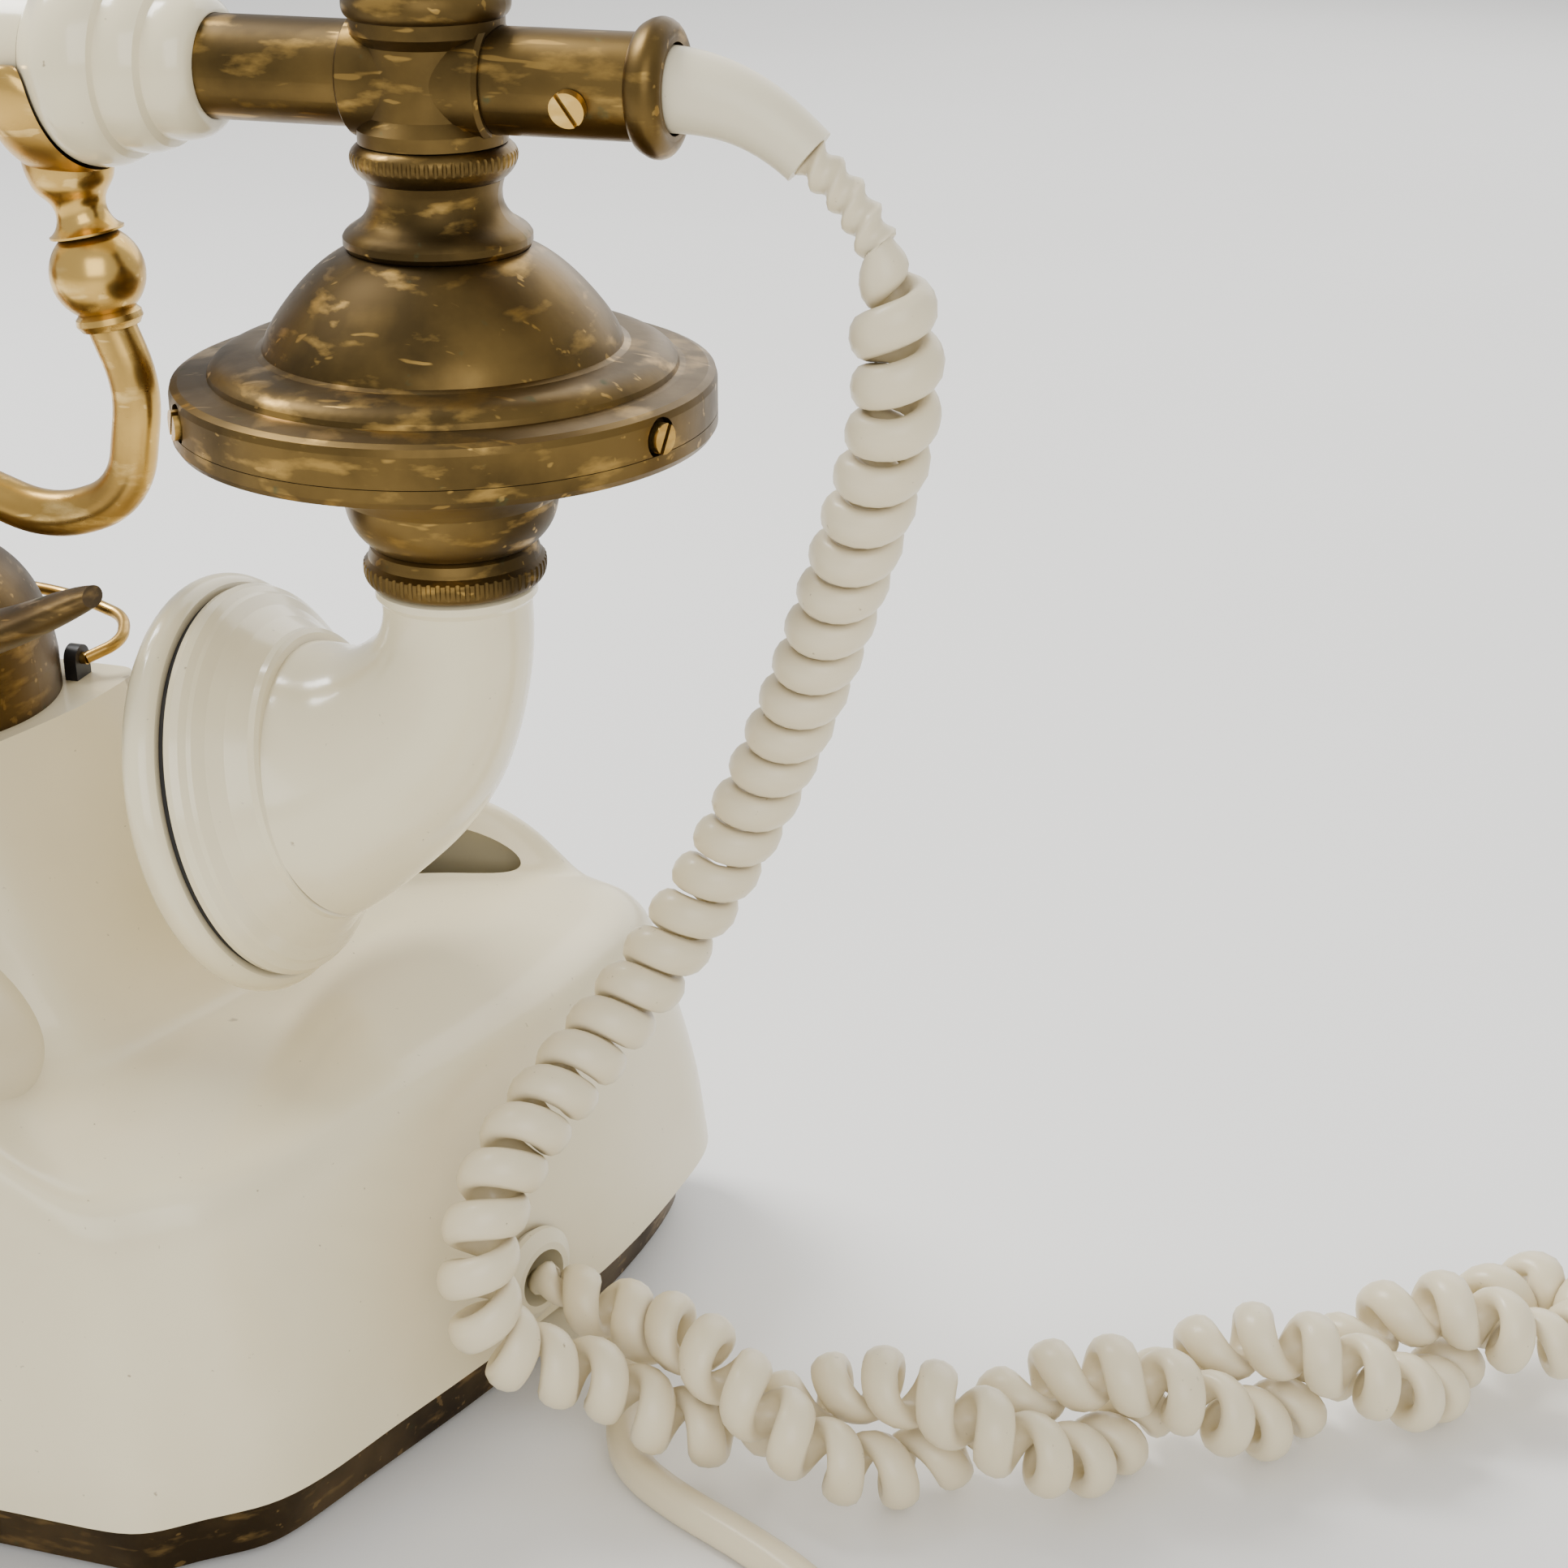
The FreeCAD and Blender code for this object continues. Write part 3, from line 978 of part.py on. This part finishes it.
PLUG_ANGLE = -60.0          # where the put-away cord leaves its coil

nodes = {
    "body_shell": body_shell(), "base_tray": base_tray(), "rubber_feet": rubber_feet(),
    "pillar": pillar(), "finger_rests": both(finger_rest(1)), "plunger": plunger(),
    "return_spring": return_spring(), "cradle_hub": cradle_hub(), "cradle_arms": both(cradle_arm()),
    "fork_balls": both(fork_ball()), "forks": both(fork()), "grip": handle_grip(),
    "ferrules": both(along_x(ferrule_solid())), "core_tube": core_tube(),
    "tee_blocks": both(tee_block()), "finials": both(tee_finial()), "fluted_rings": both(upper_ring()),
    "head_necks": both(neck()), "tube_ends": Part.makeCompound([tube_collar(HEAD_X + TUBE_END), end_cap()]),
    "boot": boot(), "case_cover": case_cover(), "case_bowl": case_bowl(),
    "case_screws": Part.makeCompound(rim_screws().Solids + [tube_screw()]),
    "transmitter_capsule": transmitter_capsule(), "union_ring": lower_ring(), "horn": horn(),
    "mouth_gasket": mouth_gasket(), "mouth_cap": mouth_cap(), "receiver_shell": mirrored(receiver_shell()),
    "receiver_unit": mirrored(receiver_unit()), "ear_cap": mirrored(ear_cap()),
    "cord_bushes": Part.makeCompound([cord_bush(), line_bush()]), "line_plug": line_plug()}
nodes.update({name: dial_place(shape) for name, shape in dial_parts().items()})
nodes["carry_bail"], nodes["bail_brackets"] = carry_bail()
nodes.update(ringer_parts())
nodes.update(inner_parts())
nodes.update(cord_solids())
nodes["line_cord_lead"], nodes["line_cord_coil"] = line_cord()
nodes["line_cord_coil"] = nodes["line_cord_coil"].cut(nodes["line_plug"])

CORD_NODES = {"boot", "cord_bushes", "line_plug", "cord_lead", "line_cord_lead", "line_cord_coil"}
box = FreeCAD.BoundBox()
for name, shape in nodes.items():
    if name not in CORD_NODES and not name.startswith("cord_coil"):
        box.add(shape.optimalBoundingBox())
shift = V(-(box.XMin + box.XMax) / 2, -(box.YMin + box.YMax) / 2, 0)
print("frame: moved %.4f mm in x and %.4f mm in y" % (shift.x, shift.y))
for name, shape in nodes.items():
    save(name, shape.translated(shift))
print(len(nodes), "nodes")
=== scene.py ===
"""Looks of the cradle telephone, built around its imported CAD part. Lengths are in metres, +Z up."""
import bpy
import json
import math
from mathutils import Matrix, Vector


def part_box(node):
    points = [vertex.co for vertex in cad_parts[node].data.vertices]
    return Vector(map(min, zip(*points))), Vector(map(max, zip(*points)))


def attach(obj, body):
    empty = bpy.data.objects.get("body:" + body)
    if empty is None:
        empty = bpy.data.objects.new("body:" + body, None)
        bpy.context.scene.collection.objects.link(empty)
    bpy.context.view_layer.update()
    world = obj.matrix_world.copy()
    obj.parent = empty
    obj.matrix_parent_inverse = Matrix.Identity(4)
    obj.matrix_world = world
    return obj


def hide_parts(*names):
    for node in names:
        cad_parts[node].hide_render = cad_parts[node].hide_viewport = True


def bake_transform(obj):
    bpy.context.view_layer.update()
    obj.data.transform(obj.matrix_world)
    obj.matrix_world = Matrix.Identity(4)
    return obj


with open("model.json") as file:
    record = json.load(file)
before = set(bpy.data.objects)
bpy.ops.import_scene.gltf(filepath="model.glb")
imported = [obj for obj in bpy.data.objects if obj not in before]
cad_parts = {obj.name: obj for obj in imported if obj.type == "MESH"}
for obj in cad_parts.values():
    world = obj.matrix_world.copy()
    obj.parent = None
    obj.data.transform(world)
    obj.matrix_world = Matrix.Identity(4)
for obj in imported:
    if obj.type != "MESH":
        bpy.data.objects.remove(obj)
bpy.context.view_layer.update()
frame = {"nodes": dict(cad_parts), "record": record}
tube_low, tube_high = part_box("core_tube")
PILLAR = Vector(((tube_low.x + tube_high.x) / 2, (tube_low.y + tube_high.y) / 2, 0))


def row(x, y, z):
    """Point given in millimetres from the pillar's axis, in the row frame."""
    return PILLAR + Vector((x, y, z)) / 1000


# ------------------------------------------------------------------ camera
CAMERA = PILLAR + Vector((0.2234, -0.3110, 0.2490))
bpy.ops.object.camera_add(location=CAMERA, rotation=(math.radians(65.9), 0, math.radians(16.3)))
camera = bpy.context.object
camera.data.lens = 61.49
camera.data.sensor_width = 36
bpy.context.scene.camera = camera

# ------------------------------------------------------------------- cords
WIRE_WIDE = 0.0056          # flat oval wire of the curly cord
WIRE_THICK = 0.0038
LINE_D = 0.0056
HELIX_HANGING = 0.0039
HELIX_FLOOR = 0.00365
PITCH_HANGING = 0.0066
PITCH_FLOOR = 0.0080
STEPS_PER_TURN = 22
RING_SIDES = 12
PAIR_R = 6.4                # millimetres, as every route below
STRAIGHT_START = 0.014      # straight wire between the boot and the first turn
FIRST_TURN = 0.008          # length over which the coil opens to its full width
LAST_TURN = 0.010           # length over which it closes again at the bush
TABLE_START = 0.17          # distance along the route where the hanging coil meets the table
TABLE_BLEND = 0.04
END_TURN_REACH = 7

boot_end = Vector((135.6, 0, 186.6))
droop = math.radians(40)
boot_way = Vector((math.cos(droop), 0, -math.sin(droop)))
HANGING = [(143.6, -1.2, 178.6), (146.6, -2.6, 174.0), (148.4, -3.6, 158.5), (143.8, .2, 144),
           (138.4, 5.2, 129), (132.6, 10, 113.5), (126.2, 13.2, 98.5), (119.6, 13.2, 84.5), (112.8, 9, 72),
           (106.6, 1.2, 63),
           (101.8, -9, 57), (98.4, -18.8, 51.8), (96.7, -25.8, 44), (96.8, -28.4, 35), (98.9, -27.4, 27),
           (104.2, -24, 21.6)]
PAIR_AXIS = [Vector(p) for p in (
    (112.5, -13.6, 18.5), (126.3, -14.9, 14.6), (141, -14, 12.4), (155.8, -11.2, 12.2), (169.5, -6.6, 12.2),
    (181, 1.4, 12.2), (192, 9.9, 12.2), (203.8, 15.2, 12.2), (215.4, 22, 12.2), (225.5, 31, 12.2),
    (233.5, 37.5, 12.2))]


def twisted(phase):
    """One of the two strands that wind round each other on the table."""
    points, last = [], len(PAIR_AXIS) - 1
    for i in range(2 * last + 1):
        here, after = i // 2, (i + 1) // 2
        middle = (PAIR_AXIS[here] + PAIR_AXIS[after]) / 2
        ahead = PAIR_AXIS[min(here + 1, last)] - PAIR_AXIS[max(after - 1, 0)]
        across = Vector((-ahead.y, ahead.x, 0)).normalized()
        angle = math.radians(phase + 45 * i)
        points.append(middle + across * PAIR_R * math.cos(angle) + Vector((0, 0, PAIR_R * math.sin(angle))))
    return points


def curly_route():
    """Control points from the boot to the bush, in millimetres from the pillar's axis."""
    out, back = twisted(180), twisted(0)
    ahead = PAIR_AXIS[-1] - PAIR_AXIS[-2]
    ahead = Vector((ahead.x, ahead.y, 0)).normalized()
    near, far = (p + ahead * END_TURN_REACH for p in (out[-1], back[-1]))
    turn = [near, near + ahead * PAIR_R, far + ahead * PAIR_R, far]
    bush = Vector((97.2, -5.0, 22.4))
    leave = Vector((0.95, -0.31, 0)).normalized()
    lead = [boot_end, boot_end + boot_way * 6] + [Vector(p) for p in HANGING]
    return lead + out + turn + back[::-1] + [bush + leave * 8.5, bush]


def nurbs(name, points):
    """A NURBS curve through control points in the row frame."""
    curve = bpy.data.curves.new(name, "CURVE")
    curve.dimensions = "3D"
    curve.resolution_u = 12
    spline = curve.splines.new("NURBS")
    spline.points.add(len(points) - 1)
    for point, place in zip(spline.points, points):
        point.co = (*place, 1)
        point.radius = LINE_D / 2   # half the cord's thickness, so that the bevel depth is 1
    spline.order_u = 3
    spline.use_endpoint_u = True
    return curve


def read_points(curve):
    """Points along a curve that has no bevel."""
    probe = bpy.data.objects.new("probe", curve)
    mesh = bpy.data.meshes.new_from_object(probe)
    points = [v.co.copy() for v in mesh.vertices]
    bpy.data.objects.remove(probe)
    bpy.data.meshes.remove(mesh)
    return points


def evenly(points, step):
    """The same line with points a fixed step apart."""
    result, left = [points[0]], step
    for a, b in zip(points, points[1:]):
        run = (b - a).length
        while run >= left and run > 0:
            a = a + (b - a) * (left / run)
            result.append(a.copy())
            run = (b - a).length
            left = step
        left -= run
    result.append(points[-1])
    return result


def helix(line, step):
    """Centre line of the coiled wire, with the way out from the coil's axis at each point."""
    total = step * (len(line) - 1)
    side = Vector((0, 1, 0))
    wire, outward, phase = [], [], 0.0
    for i in range(len(line)):
        ahead = (line[min(i + 1, len(line) - 1)] - line[max(i - 1, 0)]).normalized()
        side = (side - ahead * side.dot(ahead)).normalized()
        other = ahead.cross(side)
        done = i * step
        on_floor = min(max((done - TABLE_START) / TABLE_BLEND, 0), 1)
        radius = HELIX_HANGING + (HELIX_FLOOR - HELIX_HANGING) * on_floor
        pitch = PITCH_HANGING + (PITCH_FLOOR - PITCH_HANGING) * on_floor
        grown = min(max((done - STRAIGHT_START) / FIRST_TURN, 0), 1) * min((total - done) / LAST_TURN, 1)
        away = side * math.cos(phase) + other * math.sin(phase)
        wire.append(line[i] + away * radius * grown)
        outward.append(away)
        phase += 2 * math.pi * step / pitch
    return wire, outward


def oval_wire(name, path, outward, wide, thick):
    """Closed mesh of a flat oval wire whose broad side faces away from the coil's axis."""
    vertices, faces, last = [], [], len(path) - 1
    for i, (place, away) in enumerate(zip(path, outward)):
        ahead = (path[min(i + 1, last)] - path[max(i - 1, 0)]).normalized()
        thin = (away - ahead * away.dot(ahead)).normalized()
        broad = ahead.cross(thin)
        for k in range(RING_SIDES):
            angle = 2 * math.pi * k / RING_SIDES
            vertices.append(place + broad * wide / 2 * math.cos(angle) + thin * thick / 2 * math.sin(angle))
    for i in range(last):
        for k in range(RING_SIDES):
            a, b = i * RING_SIDES + k, i * RING_SIDES + (k + 1) % RING_SIDES
            faces.append((a, b, b + RING_SIDES, a + RING_SIDES))
    faces.append(tuple(reversed(range(RING_SIDES))))
    faces.append(tuple(range(last * RING_SIDES, (last + 1) * RING_SIDES)))
    mesh = bpy.data.meshes.new(name)
    mesh.from_pydata([tuple(v) for v in vertices], [], faces)
    mesh.polygons.foreach_set("use_smooth", [True] * len(faces))
    mesh.update()
    piece = bpy.data.objects.new(name, mesh)
    bpy.context.collection.objects.link(piece)
    return piece


def length_of(points):
    return sum((b - a).length for a, b in zip(points, points[1:]))


step = PITCH_FLOOR / STEPS_PER_TURN
route = read_points(nurbs("curly_route", [row(*p) for p in curly_route()]))
wire_path, wire_outward = helix(evenly(route, step), step)
curly_cord = oval_wire("curly_cord", wire_path, wire_outward, WIRE_WIDE, WIRE_THICK)
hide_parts("cord_lead", "cord_coil_hanging", "cord_coil_out", "cord_coil_turn",
            "cord_coil_back")
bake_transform(curly_cord)

COIL_CENTRE = Vector((184, -104, 0))
LINE_ROUTE = [(110.9, -5.4, 5.6), (111.6, -12.6, 3.6), (115.6, -19.4, 2.9), (124, -24.8, 2.9),
              (134.5, -29.4, 2.9), (146, -35.6, 2.9), (156.5, -44.8, 2.9), (164, -58.6, 2.9),
              (162.5, -74, 2.9)]
COIL_START = 165             # degrees, where the lead enters the coil
COIL_STEPS = 24             # points in one turn
BUSH_Z = 7.8
BUSH_STEP = 0.0006          # the cord's end face stands this far inside the lead's own box
BUSH_GAP = 0.0001
COIL_TURNS = [(0, 31, 2.9), (1, 36.2, 2.9), (2, 36.2, 8.4), (3, 31, 8.4), (4, 25.6, 8.4), (5, 25.6, 13.9),
              (6, 31, 13.9), (7, 36.2, 13.9), (7.375, 31, 11.45)]


def coil_points():
    """Turns of the put-away line cord, from its lead to the plug."""
    points = []
    for i in range(1, int(COIL_TURNS[-1][0] * COIL_STEPS) + 1):
        turn = i / COIL_STEPS
        for (t0, r0, z0), (t1, r1, z1) in zip(COIL_TURNS, COIL_TURNS[1:]):
            if t0 <= turn <= t1:
                share = (turn - t0) / (t1 - t0)
                radius, height = r0 + (r1 - r0) * share, z0 + (z1 - z0) * share
        angle = math.radians(COIL_START) + 2 * math.pi * turn
        points.append(COIL_CENTRE + Vector((radius * math.cos(angle), radius * math.sin(angle), height)))
    return points


def line_start():
    """Face of the line cord's bush: the lead's nearest point to the body."""
    low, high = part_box("line_cord_lead")
    return Vector((low.x + BUSH_STEP, high.y - LINE_D / 2 - BUSH_GAP, row(0, 0, BUSH_Z).z))


line_way = Vector((0.96, -0.28, 0)).normalized()
line_points = [line_start(), line_start() + line_way * 0.007] + [row(*p) for p in LINE_ROUTE]
line_points += [row(*p) for p in coil_points()]
line_curve = nurbs("line_cord", line_points)
line_length = length_of(read_points(line_curve))
line_curve.bevel_depth = 1.0
line_curve.bevel_resolution = 5
line_curve.use_fill_caps = True
line_cord = bpy.data.objects.new("line_cord", line_curve)
bpy.context.collection.objects.link(line_cord)
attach(line_cord, "base")
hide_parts("line_cord_lead", "line_cord_coil")


# --------------------------------------------------------------- materials
def srgb(red, green, blue):
    """Linear colour of an 8-bit screen colour."""
    channels = (red, green, blue)
    return tuple(((c / 255 + 0.055) / 1.055) ** 2.4 if c > 10 else c / 3294 for c in channels) + (1,)


class Finish:
    """A layered finish: a base colour and roughness, with patches of other colours laid over it."""

    def __init__(self, name, colour, roughness, metallic=0.0, coat=0.0):
        self.material = bpy.data.materials.new(name)
        self.material.use_nodes = True
        self.tree = self.material.node_tree
        self.shader = self.tree.nodes["Principled BSDF"]
        self.shader.inputs["Metallic"].default_value = metallic
        self.shader.inputs["Coat Weight"].default_value = coat
        self.shader.inputs["Coat Roughness"].default_value = 0.12
        self.place = self.tree.nodes.new("ShaderNodeTexCoord").outputs["Object"]
        self.colour = self.value(colour, "ShaderNodeRGB")
        self.roughness = self.value(roughness, "ShaderNodeValue")

    def value(self, given, kind):
        node = self.tree.nodes.new(kind)
        node.outputs[0].default_value = given
        return node.outputs[0]

    def noise(self, scale, detail=4.0, stretch=(1, 1, 1)):
        mapping = self.tree.nodes.new("ShaderNodeMapping")
        mapping.inputs["Scale"].default_value = stretch
        self.tree.links.new(self.place, mapping.inputs["Vector"])
        node = self.tree.nodes.new("ShaderNodeTexNoise")
        node.inputs["Scale"].default_value = scale
        node.inputs["Detail"].default_value = detail
        self.tree.links.new(mapping.outputs[0], node.inputs["Vector"])
        return node.outputs["Fac"]

    def between(self, source, low, high, strength=1.0):
        node = self.tree.nodes.new("ShaderNodeMapRange")
        node.inputs["From Min"].default_value = low
        node.inputs["From Max"].default_value = high
        node.inputs["To Max"].default_value = strength
        self.tree.links.new(source, node.inputs["Value"])
        return node.outputs[0]

    def crease_shade(self, distance, low, high, strength):
        """Painted shade mask from ambient occlusion: strong where the surface is hidden by its neighbours,
        as in a groove.
        """
        node = self.tree.nodes.new("ShaderNodeAmbientOcclusion")
        node.samples = 6
        node.inputs["Distance"].default_value = distance
        return self.between(node.outputs["AO"], high, low, strength)

    def over(self, colour, mask, roughness=None):
        mix = self.tree.nodes.new("ShaderNodeMix")
        mix.data_type = "RGBA"
        self.tree.links.new(mask, mix.inputs[0])
        self.tree.links.new(self.colour, mix.inputs[6])
        mix.inputs[7].default_value = colour
        self.colour = mix.outputs[2]
        if roughness is not None:
            blend = self.tree.nodes.new("ShaderNodeMix")
            self.tree.links.new(mask, blend.inputs[0])
            self.tree.links.new(self.roughness, blend.inputs[2])
            blend.inputs[3].default_value = roughness
            self.roughness = blend.outputs[0]
        return self

    def done(self, bump_from=None, height=0.0):
        self.tree.links.new(self.colour, self.shader.inputs["Base Color"])
        self.tree.links.new(self.roughness, self.shader.inputs["Roughness"])
        if bump_from is not None:
            bump = self.tree.nodes.new("ShaderNodeBump")
            bump.inputs["Strength"].default_value = 0.35
            bump.inputs["Distance"].default_value = height
            self.tree.links.new(bump_from, bump.inputs["Height"])
            self.tree.links.new(bump.outputs[0], self.shader.inputs["Normal"])
        return self.material


def ivory(name, colour, roughness, coat, groove_shade=0.6):
    """Aged cream surface with faint patches, specks and brown painted shade in its grooves."""
    look = Finish(name, colour, roughness, coat=coat)
    look.over(srgb(214, 200, 160), look.between(look.noise(35), 0.48, 0.75, 0.35))
    look.over(srgb(120, 96, 62), look.between(look.noise(900, 2), 0.74, 0.80, 0.6), 0.5)
    look.over(srgb(92, 70, 44), look.between(look.noise(160, 3, (1, 1, 0.1)), 0.73, 0.76, 0.45), 0.5)
    # painted shade: brown darkening in grooves from ambient occlusion, its strength given by the fifth
    # argument
    look.over(srgb(96, 72, 42), look.crease_shade(0.0025, 0.25, 0.62, groove_shade), 0.6)
    return look.done(look.noise(220, 3), 0.0001)


def brass(name, colour, bright, dark, roughness, tarnish):
    """Brass with darker patina patches, fine scratches and near-black painted shade in its grooves."""
    look = Finish(name, colour, roughness, metallic=1.0)
    look.over(dark, look.between(look.noise(42, 6), 0.40, 0.62, tarnish), roughness + 0.18)
    look.over(bright, look.between(look.noise(130, 5, (1, 1, 3)), 0.56, 0.70, 0.7), roughness * 0.8)
    look.over(bright, look.between(look.noise(600, 2, (0.15, 1, 1)), 0.66, 0.70, 0.6), roughness * 0.7)
    look.over(srgb(66, 92, 70), look.between(look.noise(300, 4), 0.68, 0.76, 0.35), 0.7)
    # painted shade: near-black darkening in grooves from ambient occlusion
    look.over(srgb(24, 18, 10), look.crease_shade(0.002, 0.2, 0.6, 0.85), 0.65)
    return look.done(look.noise(260, 4), 0.0001)


def plain(name, colour, roughness, metallic=0.0, worn=(90, 84, 74)):
    """Even surface with light wear and dark painted shade in its creases."""
    look = Finish(name, colour, roughness, metallic=metallic)
    look.over(srgb(*worn), look.between(look.noise(120, 4), 0.58, 0.80, 0.35), min(roughness + 0.15, 1))
    # painted shade: dark darkening in creases from ambient occlusion
    look.over(srgb(30, 26, 22), look.crease_shade(0.002, 0.2, 0.6, 0.5))
    return look.done(look.noise(400, 3), 0.00005)


# The fifth argument of an ivory finish is the strength of its brown painted groove shade; where it is left
# out, 0.6.
materials = {
    "ivory_enamel": ivory("ivory_enamel", srgb(229, 217, 182), 0.30, 0.35, 0.75),
    "ivory_plastic": ivory("ivory_plastic", srgb(235, 223, 186), 0.20, 0.50, 0.75),
    "ivory_rubber": ivory("ivory_rubber", srgb(226, 216, 186), 0.42, 0.1),
    "cord_ivory": ivory("cord_ivory", srgb(224, 211, 178), 0.38, 0.15, 0.35),
    "plug_ivory": ivory("plug_ivory", srgb(230, 222, 196), 0.28, 0.3),
    "aged_brass": brass("aged_brass", srgb(112, 90, 50), srgb(172, 138, 74), srgb(54, 43, 25), 0.34, 0.85),
    "bright_brass": brass(
        "bright_brass", srgb(206, 168, 92), srgb(232, 198, 126), srgb(118, 86, 42), 0.24, 0.6),
    "dark_bronze": brass("dark_bronze", srgb(92, 74, 46), srgb(140, 112, 66), srgb(46, 36, 24), 0.38, 0.85),
    "black_rubber": plain("black_rubber", srgb(34, 32, 30), 0.75),
    "black_steel": plain("black_steel", srgb(30, 28, 28), 0.45, 0.3),
    "black_plastic": plain("black_plastic", srgb(36, 33, 30), 0.4),
    "zinc_steel": plain("zinc_steel", srgb(176, 176, 168), 0.38, 1.0, (120, 112, 96)),
    "coil_winding": plain("coil_winding", srgb(150, 78, 44), 0.4, 0.4, (96, 52, 34)),
    "number_enamel": ivory("number_enamel", srgb(240, 236, 218), 0.22, 0.4, 0.5),
}

for part in frame["record"]["subparts"]:
    mesh = frame["nodes"][part["node"]].data
    mesh.materials.clear()
    mesh.materials.append(materials[part["material_slot"]])
curly_cord.data.materials.append(materials["cord_ivory"])
line_curve.materials.append(materials["cord_ivory"])

# ------------------------------------------------------------- surroundings
floor_look = Finish("pale_floor", srgb(244, 243, 240), 0.6)
floor_look.over(srgb(236, 234, 230), floor_look.between(floor_look.noise(3), 0.4, 0.7, 0.5))
bpy.ops.mesh.primitive_plane_add(size=8, location=(0, 0, 0))
floor = bpy.context.object
floor.name = "floor"
floor.data.materials.append(floor_look.done())


def lamp(name, place, size, power):
    """Soft square lamp that faces the phone."""
    light = bpy.data.lights.new(name, "AREA")
    light.size = size
    light.energy = power
    holder = bpy.data.objects.new(name, light)
    holder.location = place
    holder.rotation_euler = (Vector((0, 0, 0.1)) - Vector(place)).to_track_quat("-Z", "Y").to_euler()
    bpy.context.collection.objects.link(holder)


lamp("window", (-0.55, 0.15, 0.95), 0.45, 13)
lamp("front_fill", (0.5, -1.0, 0.7), 0.9, 7)
lamp("back_glow", (0.3, 1.2, 0.8), 1.2, 8)
world = bpy.data.worlds.new("studio")
world.use_nodes = True
world.node_tree.nodes["Background"].inputs["Color"].default_value = (1, 1, 1, 1)
world.node_tree.nodes["Background"].inputs["Strength"].default_value = 0.85
bpy.context.scene.world = world
